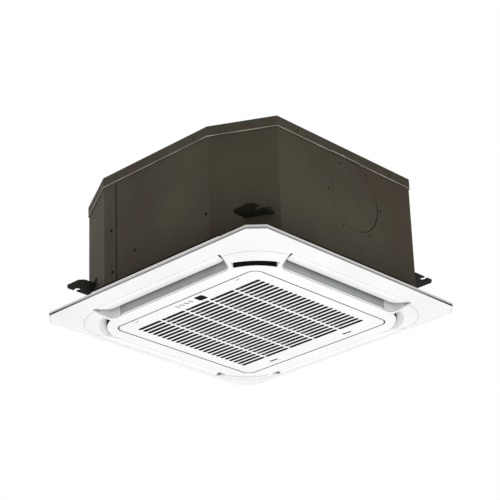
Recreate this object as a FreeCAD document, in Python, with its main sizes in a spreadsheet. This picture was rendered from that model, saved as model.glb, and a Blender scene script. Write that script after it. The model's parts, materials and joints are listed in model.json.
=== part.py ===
import FreeCAD, Part
import math
import os

import Sketcher

# A four-way ceiling cassette air conditioner, in millimetres. The origin is the centre of the
# hanging-rod pattern on the underside of the corner brackets, +Z is up, and -Y is the display side.

LENGTHS = {
    # Casing of folded sheet: an octagon whose corners are cut for the hanging rods.
    "casing_width_x": 578,
    "casing_width_y": 570,
    "casing_height": 260,
    "wall_x_span": 426,
    "wall_y_span": 318,
    "sheet_thickness": 1.0,
    "seam_inset": 36.5,
    "seam_gap": 0.5,
    "skirt_height": 24,
    "skirt_clearance": 0.8,
    "skirt_notch_width": 40,
    "skirt_notch_height": 3,
    "knock_out_radius": 73,
    "knock_out_y": 24,
    "knock_out_z": 108.5,
    "knock_out_groove": 1.2,
    "pilot_circle_radius": 83,
    "pilot_radius": 1.8,
    "screw_head_radius": 3.6,
    "screw_head_height": 1.6,
    "cover_screw_x": 120,
    "cover_screw_y": 150,
    # Hanging brackets.
    "hook_pitch_x": 545,
    "hook_pitch_y": 523,
    "hook_seat_radius": 6.5,
    "hook_entry_width": 9,
    "hook_margin_x": 9,
    "hook_margin_y": 30.5,
    "bracket_thickness": 2.5,
    "bracket_leg_height": 16,
    "bracket_corner_cut": 10,
    "bracket_back_cut": 10,
    # Heights that tie casing, ceiling and panel together.
    "hanger_above_ceiling": 64,
    "casing_above_ceiling": 25,
    "rim_thickness": 8,
    "island_drop": 25,
    # Panel.
    "panel_width": 647,
    "rim_corner_cut": 29.5,
    "rim_edge_wall": 2.5,
    "rim_band": 4,
    "rim_step": 1,
    "island_width": 494,
    "island_corner_radius": 100,
    "skin_thickness": 2.5,
    "duct_wall": 2.5,
    "seal_thickness": 4,
    "seal_overlap": 2,
    "outlet_outer_reach": 291,
    "outlet_inner_reach": 249,
    "outlet_outer_length": 380,
    "outlet_inner_length": 350,
    "outlet_corner_radius": 20,
    "return_duct_width": 432,
    "corner_slot_centre": 147,
    "corner_slot_inner_radius": 105,
    "corner_slot_outer_radius": 122,
    "corner_cover_centre": 188,
    "corner_cover_radius": 96,
    "corner_cover_thickness": 2,
    "corner_cover_clearance": 0.6,
    "tab_thickness": 2.5,
    "tab_reach": 20,
    "tab_leg_height": 18,
    "panel_screw_place": 244,
    "panel_screw_radius": 2.5,
    "panel_screw_head_radius": 5,
    "panel_screw_head_height": 3,
    "panel_screw_depth": 9,
    "panel_screw_proud": 6,
    "panel_boss_radius": 9,
    "screw_clearance": 0.3,
    # Air-guide vanes and their motors.
    "vane_width": 34,
    "vane_thickness": 2.5,
    "vane_outer_length": 366,
    "vane_inner_length": 344,
    "vane_corner_radius": 22,
    "vane_edge_gap": 1,
    "vane_edge_above_island": 14.5,
    "vane_pivot_reach": 281,
    "vane_pivot_above_island": 27,
    "vane_ear_half_place": 178,
    "vane_ear_thickness": 2.5,
    "vane_ear_depth": 10,
    "vane_ear_above_pivot": 4,
    "vane_ear_below_pivot": 10,
    "vane_pin_radius": 2,
    "running_clearance": 0.05,
    "vane_pin_reach": 199,
    "vane_free_pin_reach": 191,
    "motor_seat_start": 184,
    "motor_seat_end": 193.5,
    "vane_motor_radius": 9,
    "vane_motor_length": 18,
    "vane_motor_hub_depth": 8,
    # Intake grille, hinged on the display side.
    "grille_width": 420,
    "grille_corner_radius": 22,
    "grille_gap": 2,
    "grille_skin": 2.5,
    "grille_edge_chamfer": 1.5,
    "grille_rib_height": 8.5,
    "grille_rib_thickness": 2.5,
    "grille_rib_inset": 2.5,
    "slot_length": 69,
    "slot_height": 9.2,
    "slot_pitch_x": 73,
    "slot_pitch_y": 14,
    "slot_field_shift": 4,
    "slot_end_radius": 4.2,
    "hinge_place_x": 150,
    "hinge_inset": 8,
    "hinge_above_island": 4.5,
    "hinge_pin_radius": 1.5,
    "hinge_lug_width": 8,
    "hinge_lug_radius": 3,
    "hinge_notch_margin": 1.5,
    # Sliding catches.
    "latch_place_x": 110,
    "latch_place_y": 194,
    "latch_button_width": 22,
    "latch_button_depth": 8,
    "latch_travel": 6,
    "latch_slot_margin": 0.5,
    "latch_plate_width": 30,
    "latch_plate_depth": 22,
    "latch_plate_thickness": 2.4,
    "latch_nose_width": 12,
    "latch_lift": 0.2,
    "latch_nose_gap": 0.4,
    # Display window and indicators.
    "lens_place_x": 34,
    "lens_place_y": 189,
    "lens_width": 24,
    "lens_depth": 22,
    "lens_corner_radius": 5,
    "lens_flange": 2.5,
    "lens_flange_thickness": 1.5,
    "lens_clearance": 0.2,
    "indicator_first_x": -33,
    "indicator_pitch": 13,
    "indicator_place_y": 191,
    "indicator_width": 4,
    "indicator_height": 11,
    "indicator_slant": 5,
    "board_thickness": 1.6,
    "board_lift": 0.2,
    "board_margin": 10,
    # Filter.
    "filter_width": 400,
    "filter_frame_width": 8,
    "filter_thickness": 4,
    "filter_mesh_thickness": 0.6,
    # Foam lining and drain pan.
    "fit_gap": 0.3,
    "liner_thickness": 10,
    "liner_top_thickness": 12,
    "motor_hole_radius": 78,
    "pan_height": 40,
    "pan_bore_radius": 172,
    "pan_trough_depth": 6,
    "pan_trough_margin": 1,
    "passage_inner_reach": 244,
    "passage_outer_reach": 274,
    "passage_y_length": 300,
    "passage_x_length": 340,
    # Heat exchanger and its pipes, through the wall opposite the knock-out.
    "coil_width": 464,
    "coil_thickness": 28,
    "coil_corner_radius": 60,
    "coil_height": 200,
    "coil_gap_reach": 140,
    "end_plate_thickness": 1.5,
    "gas_pipe_radius": 6.35,
    "liquid_pipe_radius": 3.175,
    "pipe_wall": 0.8,
    "pipe_level": 150,
    "gas_pipe_y": 100,
    "liquid_pipe_y": 55,
    "pipe_stub": 20,
    "union_length": 26,
    "union_lap": 14,
    "gas_union_radius": 9.5,
    "liquid_union_radius": 5.6,
    "pipe_hole_clearance": 1.5,
    # Drain pump and float.
    "pump_x": -205,
    "pump_y": 185,
    "pump_can_radius": 24,
    "pump_can_bottom": 60,
    "pump_can_top": 132,
    "pump_stem_radius": 9,
    "pump_cup_radius": 18,
    "pump_cup_inner_radius": 16,
    "pump_cup_bottom": 4,
    "pump_cup_top": 26,
    "pump_cup_roof": 3,
    "pump_shaft_radius": 2.5,
    "pump_shaft_top": 56,
    "pump_blade_radius": 14,
    "pump_blade_bottom": 8,
    "pump_blade_height": 10,
    "pump_blade_thickness": 1.6,
    "drain_pipe_radius": 12.5,
    "drain_pipe_wall": 2.5,
    "drain_pipe_level": 96,
    "drain_pipe_reach": 321,
    "drain_pipe_inner_radius": 10.5,
    "float_x": -232,
    "float_y": 160,
    "float_stem_radius": 3,
    "float_foot_radius": 8,
    "float_foot_height": 3,
    "float_cap_height": 2,
    "float_cap_radius": 5,
    "float_stem_height": 44,
    "float_ring_radius": 9,
    "float_ring_height": 14,
    "float_ring_lift": 0.4,
    "float_bore_clearance": 0.08,
    # Bell mouth, fan and motor.
    "bell_flange_radius": 200,
    "bell_flange_thickness": 3,
    "bell_throat_radius": 130,
    "bell_mouth_radius": 152,
    "bell_wall": 2.5,
    "bell_height": 38,
    "fan_radius": 175,
    "fan_inlet_radius": 138,
    "fan_wall": 3,
    "fan_inlet_z": -16,
    "fan_shroud_z": 22,
    "fan_plate_z": 135,
    "fan_cone_radius": 76,
    "fan_cone_foot_radius": 62,
    "fan_hub_radius": 18,
    "fan_hub_z": 78,
    "fan_hub_height": 28,
    "fan_blade_inner_radius": 108,
    "fan_blade_thickness": 4,
    "fan_blade_sweep": 46,
    "fan_blade_inset": 1.5,
    "shaft_radius": 5,
    "shaft_bottom": 68,
    "shaft_depth": 40,
    "nut_radius": 8.5,
    "nut_height": 8,
    "motor_radius": 52,
    "motor_bottom": 128,
    "motor_flange_radius": 70,
    "motor_flange_thickness": 5,
    "bush_radius": 8,
    "bush_height": 6,
    "bush_circle_radius": 60,
    # Control box in the intake, beside the bell mouth.
    "control_length": 330,
    "control_near": 152,
    "control_depth": 52,
    "control_height": 34,
    "control_wall": 1.2,
    "control_cover_thickness": 1.2,
    "control_board_lift": 6,
    "control_board_margin": 3,
    "control_post_radius": 3,
    "terminal_length": 70,
    "terminal_depth": 22,
    "terminal_height": 14,
    # Wiring entry.
    "grommet_y": -70,
    "grommet_z": 60,
    "grommet_bore_radius": 9,
    "grommet_neck_radius": 12,
    "grommet_flange_radius": 16,
    "grommet_flange": 3,
    "grommet_depth": 4,
    "overrun": 5,
}

SLOT_COLUMNS = 5
SLOT_ROWS = 24
FAN_BLADES = 7
PILOT_HOLES = 6
INDICATORS = 4
PUMP_BLADES = 4
BUSHES = 3
HEX_SIDES = 6
VANE_TILT_DEG = 13.0
CORNER_SLOT_DEG = 50.0
QUARTER_DEG = 90.0
# Places along the cut corner of the casing, as shares of its length.
BRACKET_SHARES = (0.50, 0.87)
BRACKET_SCREW_SHARES = (0.57, 0.80)
TAB_SHARES = (0.30, 0.70)
SIDES = ("front", "right", "back", "left")
CORNERS = ((1, -1), (1, 1), (-1, 1), (-1, -1))
UP = FreeCAD.Vector(0, 0, 1)
ROOT, START, END, CENTRE = -1, 1, 2, 3
X_LINE, Y_LINE = -1, -2

doc = FreeCAD.newDocument("CassetteAirConditioner")
sheet = doc.addObject("Spreadsheet::Sheet", "Sizes")
for row, (alias, length) in enumerate(LENGTHS.items(), start=1):
    sheet.set(f"A{row}", alias)
    sheet.set(f"B{row}", str(length))
    sheet.setAlias(f"B{row}", alias)
doc.recompute()


class Size:
    """A number together with the formula that gives it from the cells of the sheet."""

    def __init__(self, value, formula):
        self.value = float(value)
        self.formula = formula

    def __add__(self, other):
        other = as_size(other)
        return Size(self.value + other.value, f"({self.formula} + {other.formula})")

    def __sub__(self, other):
        other = as_size(other)
        return Size(self.value - other.value, f"({self.formula} - {other.formula})")

    def __mul__(self, other):
        other = as_size(other)
        return Size(self.value * other.value, f"({self.formula} * {other.formula})")

    def __truediv__(self, other):
        other = as_size(other)
        return Size(self.value / other.value, f"({self.formula} / {other.formula})")

    def __neg__(self):
        return Size(-self.value, f"(0 - {self.formula})")

    def __radd__(self, other):
        return as_size(other) + self

    def __rsub__(self, other):
        return as_size(other) - self

    def __rmul__(self, other):
        return as_size(other) * self

    def root(self):
        return Size(math.sqrt(self.value), f"sqrt({self.formula})")


def as_size(thing):
    return thing if isinstance(thing, Size) else Size(thing, repr(thing))


class Sheet:
    """Every cell of the sheet as an attribute."""

    def __getattr__(self, alias):
        return Size(sheet.get(alias), f"Sizes.{alias}")


size = Sheet()
pieces = {}


def bind(item, prop, length):
    """Tie a property to the sheet."""
    item.setExpression(prop, as_size(length).formula)


def turned(item, quarter):
    """Turn an item about the vertical axis by quarter turns."""
    item.Placement = FreeCAD.Placement(FreeCAD.Vector(), FreeCAD.Rotation(UP, QUARTER_DEG * quarter))
    return item


def piece(label, item):
    """Name a finished sub-part."""
    item.Label = label
    pieces[label] = item
    return item


def box(x, y, z):
    """A block; each axis has its low and high place."""
    item = doc.addObject("Part::Box", "Block")
    for prop, axis, (low, high) in (("Length", "x", x), ("Width", "y", y), ("Height", "z", z)):
        bind(item, prop, as_size(high) - low)
        bind(item, f"Placement.Base.{axis}", low)
    return item


ROD_TURNS = {
    "x": FreeCAD.Rotation(FreeCAD.Vector(0, 1, 0), QUARTER_DEG),
    "y": FreeCAD.Rotation(FreeCAD.Vector(1, 0, 0), -QUARTER_DEG),
    "z": FreeCAD.Rotation(),
}


def rod(axis, radius, low, high, across):
    """A cylinder along an axis; across gives its two other coordinates in X, Y, Z order."""
    item = doc.addObject("Part::Cylinder", "Rod")
    bind(item, "Radius", radius)
    bind(item, "Height", as_size(high) - low)
    item.Placement = FreeCAD.Placement(FreeCAD.Vector(), ROD_TURNS[axis])
    places = dict(zip([name for name in "xyz" if name != axis], across))
    places[axis] = low
    for name, place in places.items():
        bind(item, f"Placement.Base.{name}", place)
    return item


def tube(axis, radius, bore, low, high, across):
    """A cylinder with a bore right through it."""
    core = rod(axis, bore, low - size.overrun, high + size.overrun, across)
    return cut(rod(axis, radius, low, high, across), core)


def fuse(*items):
    if len(items) == 1:
        return items[0]
    item = doc.addObject("Part::MultiFuse", "Joined")
    item.Shapes = list(items)
    return item


def cut(base, *tools):
    item = doc.addObject("Part::Cut", "Cut")
    item.Base = base
    item.Tool = fuse(*tools)
    return item


def common(first, second):
    item = doc.addObject("Part::Common", "Common")
    item.Base = first
    item.Tool = second
    return item


def group(*items):
    """Separate solids that share one node."""
    item = doc.addObject("Part::Compound", "Group")
    item.Links = list(items)
    return item


def new_body():
    return doc.addObject("PartDesign::Body", "Body")


def sketch_on(body, height, role="XY_Plane"):
    """An empty sketch on one of the body's own planes, raised by a bound height."""
    plane = next(item for item in body.Origin.OriginFeatures if item.Role == role)
    sketch = body.newObject("Sketcher::SketchObject", "Outline")
    sketch.AttachmentSupport = [(plane, "")]
    sketch.MapMode = "FlatFace"
    bind(sketch, "AttachmentOffset.Base.z", height)
    return sketch


def hold(sketch, kind, geometry, point, place):
    """Hold one coordinate of a point at a bound distance from the sketch's origin."""
    if place.value == 0:
        line = Y_LINE if kind == "DistanceX" else X_LINE
        sketch.addConstraint(Sketcher.Constraint("PointOnObject", geometry, point, line))
        return
    constraint = Sketcher.Constraint(kind, ROOT, START, geometry, point, place.value)
    index = sketch.addConstraint(constraint)
    sketch.setExpression(f"Constraints[{index}]", place.formula)


def draw_loop(sketch, points):
    """A closed loop of straight edges, both coordinates of each corner held."""
    corners = [(as_size(x), as_size(y)) for x, y in points]
    vectors = [FreeCAD.Vector(x.value, y.value, 0) for x, y in corners]
    count = len(corners)
    first = sketch.GeometryCount
    for index in range(count):
        sketch.addGeometry(Part.LineSegment(vectors[index], vectors[(index + 1) % count]))
    for index in range(count):
        following = first + (index + 1) % count
        sketch.addConstraint(Sketcher.Constraint("Coincident", first + index, END, following, START))
    for index, (x, y) in enumerate(corners):
        hold(sketch, "DistanceX", first + index, START, x)
        hold(sketch, "DistanceY", first + index, START, y)


def draw_rounded(sketch, half_x, half_y, radius):
    """A rectangle about the origin with four tangent corner arcs, all of one radius."""
    inner_x, inner_y = half_x - radius, half_y - radius
    first = sketch.GeometryCount
    centres = [(1, 1), (-1, 1), (-1, -1), (1, -1)]
    r = radius.value
    arcs = [FreeCAD.Vector(sx * inner_x.value, sy * inner_y.value, 0) for sx, sy in centres]
    rays = [FreeCAD.Vector(r, 0, 0), FreeCAD.Vector(0, r, 0),
            FreeCAD.Vector(-r, 0, 0), FreeCAD.Vector(0, -r, 0)]
    for index in range(4):
        after = (index + 1) % 4
        circle = Part.Circle(arcs[index], UP, r)
        sketch.addGeometry(Part.ArcOfCircle(circle, index * math.pi / 2, (index + 1) * math.pi / 2))
        sketch.addGeometry(Part.LineSegment(arcs[index] + rays[after], arcs[after] + rays[after]))
    for index in range(8):
        following = first + (index + 1) % 8
        sketch.addConstraint(Sketcher.Constraint("Tangent", first + index, END, following, START))
    for index, kind in ((1, "Horizontal"), (3, "Vertical"), (5, "Horizontal"), (7, "Vertical")):
        sketch.addConstraint(Sketcher.Constraint(kind, first + index))
    for index in (2, 4, 6):
        sketch.addConstraint(Sketcher.Constraint("Equal", first, first + index))
    index = sketch.addConstraint(Sketcher.Constraint("Radius", first, r))
    sketch.setExpression(f"Constraints[{index}]", radius.formula)
    for arc, sign in ((0, 1), (4, -1)):
        hold(sketch, "DistanceX", first + arc, CENTRE, sign * inner_x)
        hold(sketch, "DistanceY", first + arc, CENTRE, sign * inner_y)


def pad(body, sketch, length):
    feature = body.newObject("PartDesign::Pad", "Pad")
    feature.Profile = sketch
    bind(feature, "Length", length)
    return feature


def prism(points, low, high):
    """A straight-edged outline carried from one height to another."""
    body = new_body()
    sketch = sketch_on(body, low)
    draw_loop(sketch, points)
    pad(body, sketch, as_size(high) - low)
    return body


def rounded_prism(half_x, half_y, radius, low, high, x=0, y=0):
    """A rounded rectangle carried from one height to another, its centre at x, y."""
    body = new_body()
    sketch = sketch_on(body, low)
    draw_rounded(sketch, half_x, half_y, radius)
    pad(body, sketch, as_size(high) - low)
    bind(body, "Placement.Base.x", x)
    bind(body, "Placement.Base.y", y)
    return body


def revolve(body, profile):
    """Turn a closed profile of radius and height points about the vertical axis."""
    sketch = sketch_on(body, 0, "XZ_Plane")
    draw_loop(sketch, profile)
    feature = body.newObject("PartDesign::Revolution", "Turned")
    feature.Profile = sketch
    feature.ReferenceAxis = (sketch, ["V_Axis"])
    feature.Angle = 360
    return feature


def hex_prism(radius, low, high):
    """A six-sided prism about the vertical axis, its corners on the radius."""
    turns = [2 * math.pi * index / HEX_SIDES for index in range(HEX_SIDES)]
    return prism([(radius * math.cos(turn), radius * math.sin(turn)) for turn in turns], low, high)


# Heights
ceiling_z = -size.hanger_above_ceiling
rim_z = ceiling_z - size.rim_thickness
island_z = rim_z - size.island_drop
casing_bottom = ceiling_z + size.casing_above_ceiling
casing_top = casing_bottom + size.casing_height
cover_underside = casing_top - size.sheet_thickness
duct_top = casing_bottom - size.seal_thickness
pan_top = casing_bottom + size.pan_height

# Casing outline
casing_half_x = size.casing_width_x / 2
casing_half_y = size.casing_width_y / 2
wall_x_half = size.wall_x_span / 2
wall_y_half = size.wall_y_span / 2
leg_x = casing_half_x - wall_y_half
leg_y = casing_half_y - wall_x_half
corner_length = (leg_x * leg_x + leg_y * leg_y).root()
outward_x = leg_y / corner_length
outward_y = leg_x / corner_length


def octagon_sizes(grow):
    """Both half widths and the half spans of the Y and X walls, with every wall moved out by grow."""
    half_y_wall = wall_y_half + grow * (corner_length - leg_x) / leg_y
    half_x_wall = wall_x_half + grow * (corner_length - leg_y) / leg_x
    return casing_half_x + grow, casing_half_y + grow, half_y_wall, half_x_wall


def octagon(grow):
    x, y, a, b = octagon_sizes(as_size(grow))
    return [(a, -y), (x, -b), (x, b), (a, y), (-a, y), (-x, b), (-x, -b), (-a, -y)]


def on_corner(share, out=0):
    """A point along the cut corner in the first quarter, moved outwards from the sheet."""
    x = wall_y_half + leg_x * share + outward_x * out
    y = casing_half_y - leg_y * share + outward_y * out
    return x, y


def mirrored(points, sign_x, sign_y):
    """Points of the first quarter carried to another corner, kept in counter-clockwise order."""
    moved = [(sign_x * x, sign_y * y) for x, y in points]
    return moved if sign_x * sign_y > 0 else moved[::-1]


# Casing sheets: each wraps one side wall and two corners; the seams lie near the ends of the Y walls.
outer_x, outer_y, outer_a, outer_b = octagon_sizes(as_size(0))
inner_x, inner_y, inner_a, inner_b = octagon_sizes(-size.sheet_thickness)
seam_x = wall_y_half - size.seam_inset
seam_low = size.seam_gap / 2 - seam_x
seam_high = size.seam_gap / 2 + seam_x
wrap = [
    (seam_low, -outer_y), (outer_a, -outer_y), (outer_x, -outer_b), (outer_x, outer_b),
    (outer_a, outer_y), (seam_high, outer_y), (seam_high, inner_y), (inner_a, inner_y),
    (inner_x, inner_b), (inner_x, -inner_b), (inner_a, -inner_y), (seam_low, -inner_y),
]


def wall_holes(side, *holes):
    """Round tools through an X wall and its lining; each hole is a radius, a Y place and a Z place."""
    reach = size.sheet_thickness + size.fit_gap + size.liner_thickness + size.overrun
    low, high = casing_half_x - reach, casing_half_x + size.overrun
    ends = (low, high) if side > 0 else (-high, -low)
    return [rod("x", radius, *ends, (y, z)) for radius, y, z in holes]


gas_hole = (size.gas_pipe_radius + size.pipe_hole_clearance, size.gas_pipe_y, size.pipe_level)
liquid_hole = (size.liquid_pipe_radius + size.pipe_hole_clearance, size.liquid_pipe_y, size.pipe_level)
drain_hole = (size.drain_pipe_inner_radius + size.pipe_hole_clearance, size.pump_y, size.drain_pipe_level)
wire_hole = (size.grommet_neck_radius, size.grommet_y, size.grommet_z)
entry_holes = (gas_hole, liquid_hole, drain_hole, wire_hole)

groove_floor = casing_half_x - size.sheet_thickness / 2
groove_place = (size.knock_out_y, size.knock_out_z)
groove_out = casing_half_x + size.overrun
knock_out = cut(
    rod("x", size.knock_out_radius, groove_floor, groove_out, groove_place),
    rod("x", size.knock_out_radius - size.knock_out_groove, groove_floor, groove_out, groove_place),
)
pilot_turns = [2 * math.pi * index / PILOT_HOLES for index in range(PILOT_HOLES)]
pilots = wall_holes(1, *[
    (
        size.pilot_radius,
        size.knock_out_y + size.pilot_circle_radius * math.cos(turn),
        size.knock_out_z + size.pilot_circle_radius * math.sin(turn),
    )
    for turn in pilot_turns
])
piece("casing_front", cut(prism(wrap, casing_bottom, cover_underside), knock_out, *pilots))
rear_wrap = turned(prism(wrap, casing_bottom, cover_underside), 2)
piece("casing_rear", cut(rear_wrap, *wall_holes(-1, *entry_holes)))

# Top cover with its skirt round the walls
skirt_bottom = casing_top - size.skirt_height
skirt_out = size.skirt_clearance + size.sheet_thickness
notch_half = size.skirt_notch_width / 2
skirt_notch = box(
    (casing_half_x, casing_half_x + skirt_out + size.overrun),
    (-notch_half, notch_half),
    (skirt_bottom - size.overrun, skirt_bottom + size.skirt_notch_height),
)
piece("top_cover", cut(
    prism(octagon(skirt_out), skirt_bottom, casing_top),
    prism(octagon(size.skirt_clearance), skirt_bottom - size.overrun, cover_underside),
    skirt_notch,
))
screw_level = casing_top - size.skirt_height / 2
cover_screws = []
for axis, wall, place in (("y", casing_half_y, size.cover_screw_x), ("x", casing_half_x, size.cover_screw_y)):
    under_head = wall + skirt_out
    over_head = under_head + size.screw_head_height
    for span in ((under_head, over_head), (-over_head, -under_head)):
        cover_screws.append(rod(axis, size.screw_head_radius, *span, (place, screw_level)))
        cover_screws.append(rod(axis, size.screw_head_radius, *span, (-place, screw_level)))
piece("cover_screws", group(*cover_screws))

# Hanging brackets: a corner plate with a hook seat, and a leg on the cut corner
hook_x, hook_y = size.hook_pitch_x / 2, size.hook_pitch_y / 2
plate_x, plate_y = hook_x + size.hook_margin_x, hook_y + size.hook_margin_y
near_x, near_y = on_corner(BRACKET_SHARES[0])
far_x, far_y = on_corner(BRACKET_SHARES[1])
plate = [
    (far_x, far_y), (plate_x, far_y), (plate_x, plate_y - size.bracket_corner_cut),
    (plate_x - size.bracket_corner_cut, plate_y), (near_x + size.bracket_back_cut, plate_y),
    (near_x, plate_y - size.bracket_back_cut), (near_x, near_y),
]
leg = [
    on_corner(BRACKET_SHARES[1]), on_corner(BRACKET_SHARES[1], size.bracket_thickness),
    on_corner(BRACKET_SHARES[0], size.bracket_thickness), on_corner(BRACKET_SHARES[0]),
]
tab_place = size.panel_screw_place
tab_near, tab_far = TAB_SHARES
tab = [
    on_corner(tab_far), on_corner(tab_far, size.tab_reach),
    on_corner(tab_near, size.tab_reach), on_corner(tab_near),
]
tab_leg = [
    on_corner(tab_far), on_corner(tab_far, size.tab_thickness),
    on_corner(tab_near, size.tab_thickness), on_corner(tab_near),
]
bracket_screws, panel_tabs = [], []
for number, (sign_x, sign_y) in enumerate(CORNERS, start=1):
    seat = rod("z", size.hook_seat_radius, -size.overrun, size.bracket_thickness + size.overrun,
               (sign_x * hook_x, sign_y * hook_y))
    entry_ends = (hook_x, plate_x + size.overrun) if sign_x > 0 else (-plate_x - size.overrun, -hook_x)
    entry_half = size.hook_entry_width / 2
    entry = box(entry_ends, (sign_y * hook_y - entry_half, sign_y * hook_y + entry_half),
                (-size.overrun, size.bracket_thickness + size.overrun))
    bracket = fuse(
        prism(mirrored(plate, sign_x, sign_y), 0, size.bracket_thickness),
        prism(mirrored(leg, sign_x, sign_y), 0, size.bracket_leg_height),
    )
    piece(f"hanger_bracket_{number}", cut(bracket, seat, entry))
    for share in BRACKET_SCREW_SHARES:
        x, y = on_corner(share, size.bracket_thickness)
        screw = doc.addObject("Part::Cylinder", "Rod")
        bind(screw, "Radius", size.screw_head_radius)
        bind(screw, "Height", size.screw_head_height)
        lean = FreeCAD.Vector(sign_x * outward_x.value, sign_y * outward_y.value, 0)
        screw.Placement = FreeCAD.Placement(FreeCAD.Vector(), FreeCAD.Rotation(UP, lean))
        bind(screw, "Placement.Base.x", sign_x * x)
        bind(screw, "Placement.Base.y", sign_y * y)
        bind(screw, "Placement.Base.z", (size.bracket_leg_height + size.bracket_thickness) / 2)
        bracket_screws.append(screw)
    tab_hole = rod("z", size.panel_screw_radius + size.screw_clearance, casing_bottom - size.overrun,
                   casing_bottom + size.tab_thickness + size.overrun,
                   (sign_x * tab_place, sign_y * tab_place))
    panel_tabs.append(cut(
        fuse(
            prism(mirrored(tab, sign_x, sign_y), casing_bottom, casing_bottom + size.tab_thickness),
            prism(mirrored(tab_leg, sign_x, sign_y), casing_bottom, casing_bottom + size.tab_leg_height),
        ),
        tab_hole,
    ))
piece("bracket_screws", group(*bracket_screws))
piece("panel_tabs", group(*panel_tabs))

# Panel: a shallow pyramid from the rim down to the flat island, hollow above
panel_half = size.panel_width / 2
island_half = size.island_width / 2


def cut_square(half, corner):
    """A square with cut corners, counter-clockwise from the first corner's cut."""
    short = half - corner
    return [
        (half, short), (short, half), (-short, half), (-half, short),
        (-half, -short), (-short, -half), (short, -half), (half, -short),
    ]


def pyramid(shrink, low_z, high_z, lift, top):
    """The panel's outer form, or its hollow, with straight sides from high_z up to top."""
    body = new_body()
    outline = cut_square(panel_half - shrink, size.rim_corner_cut)
    wide = sketch_on(body, high_z + lift)
    draw_loop(wide, outline)
    narrow = sketch_on(body, low_z + lift)
    draw_rounded(narrow, island_half, island_half, size.island_corner_radius)
    loft = body.newObject("PartDesign::AdditiveLoft", "Slope")
    loft.Profile = wide
    loft.Sections = [narrow]
    loft.Ruled = True
    straight = sketch_on(body, high_z + lift)
    draw_loop(straight, outline)
    pad(body, straight, as_size(top) - high_z - lift)
    return body


def draw_outlet(sketch, grow):
    """A trapezium whose two inner corners are tangent arcs, its sides moved out by grow."""
    wide, narrow = size.outlet_outer_length / 2 + grow, size.outlet_inner_length / 2 + grow
    far, near = size.outlet_outer_reach + grow, size.outlet_inner_reach - grow
    radius = size.outlet_corner_radius + grow
    taper, depth = wide - narrow, far - near
    slant = (taper * taper + depth * depth).root()
    centre_x, centre_y = narrow - radius * (slant - taper) / depth, -near - radius
    r, lean = radius.value, math.atan2(taper.value, depth.value)
    touch = FreeCAD.Vector(r * math.cos(lean), r * math.sin(lean), 0)
    corner = [FreeCAD.Vector(sign * wide.value, -far.value, 0) for sign in (-1, 1)]
    middle = [FreeCAD.Vector(sign * centre_x.value, centre_y.value, 0) for sign in (1, -1)]
    mirror_touch = FreeCAD.Vector(-touch.x, touch.y, 0)
    top = FreeCAD.Vector(0, r, 0)
    sketch.addGeometry(Part.LineSegment(corner[0], corner[1]))
    sketch.addGeometry(Part.LineSegment(corner[1], middle[0] + touch))
    sketch.addGeometry(Part.ArcOfCircle(Part.Circle(middle[0], UP, r), lean, math.pi / 2))
    sketch.addGeometry(Part.LineSegment(middle[0] + top, middle[1] + top))
    sketch.addGeometry(Part.ArcOfCircle(Part.Circle(middle[1], UP, r), math.pi / 2, math.pi - lean))
    sketch.addGeometry(Part.LineSegment(middle[1] + mirror_touch, corner[0]))
    for first, second, kind in ((0, 1, "Coincident"), (1, 2, "Tangent"), (2, 3, "Tangent"), (3, 4, "Tangent"),
                                (4, 5, "Tangent"), (5, 0, "Coincident")):
        sketch.addConstraint(Sketcher.Constraint(kind, first, END, second, START))
    for point, sign in ((START, -1), (END, 1)):
        hold(sketch, "DistanceX", 0, point, sign * wide)
        hold(sketch, "DistanceY", 0, point, -far)
    for arc, sign in ((2, 1), (4, -1)):
        hold(sketch, "DistanceX", arc, CENTRE, sign * centre_x)
        hold(sketch, "DistanceY", arc, CENTRE, centre_y)
    index = sketch.addConstraint(Sketcher.Constraint("Radius", 2, r))
    sketch.setExpression(f"Constraints[{index}]", radius.formula)


def outlet(grow, low, high, quarter):
    """A tool or wall block on one air outlet."""
    body = new_body()
    sketch = sketch_on(body, low)
    draw_outlet(sketch, grow)
    pad(body, sketch, as_size(high) - low)
    return turned(body, quarter)


def boss(radius, low, high, sign_x, sign_y):
    """A cylinder on a panel screw's axis."""
    return rod("z", radius, low, high, (sign_x * size.panel_screw_place, sign_y * size.panel_screw_place))


def corner_rod(centre, radius, low, high, sign_x, sign_y):
    return rod("z", radius, low, high, (sign_x * centre, sign_y * centre))


below_island = island_z - size.overrun
return_half = size.return_duct_width / 2
return_radius = size.grille_corner_radius + size.duct_wall
opening_half = size.grille_width / 2 + size.grille_gap
opening_radius = size.grille_corner_radius + size.grille_gap
pivot_z = island_z + size.vane_pivot_above_island
hinge_y = size.hinge_inset - size.grille_width / 2
hinge_z = island_z + size.hinge_above_island

skin = cut(
    fuse(
        pyramid(size.rim_step, island_z, rim_z, 0, ceiling_z),
        prism(cut_square(panel_half, size.rim_corner_cut), ceiling_z - size.rim_band, ceiling_z),
    ),
    pyramid(size.rim_edge_wall, island_z + size.skin_thickness, ceiling_z, 0, ceiling_z + size.overrun),
)
walls = [rounded_prism(return_half + size.duct_wall, return_half + size.duct_wall,
                       return_radius + size.duct_wall, island_z, duct_top)]
walls += [outlet(size.duct_wall, below_island, duct_top, quarter) for quarter in range(len(SIDES))]
seat_reach = (-size.vane_pivot_reach - size.vane_motor_radius,
              -size.vane_pivot_reach + size.vane_motor_radius)
for quarter in range(len(SIDES)):
    seat = box((size.motor_seat_start, size.motor_seat_end), seat_reach,
               (pivot_z - size.vane_motor_radius, pivot_z + size.vane_motor_radius))
    walls.append(turned(group(seat), quarter))
walls += [boss(size.panel_boss_radius, below_island, casing_bottom, *corner) for corner in CORNERS]
kept_walls = common(fuse(*walls), pyramid(size.rim_step, island_z, rim_z, 0, casing_bottom))

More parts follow.
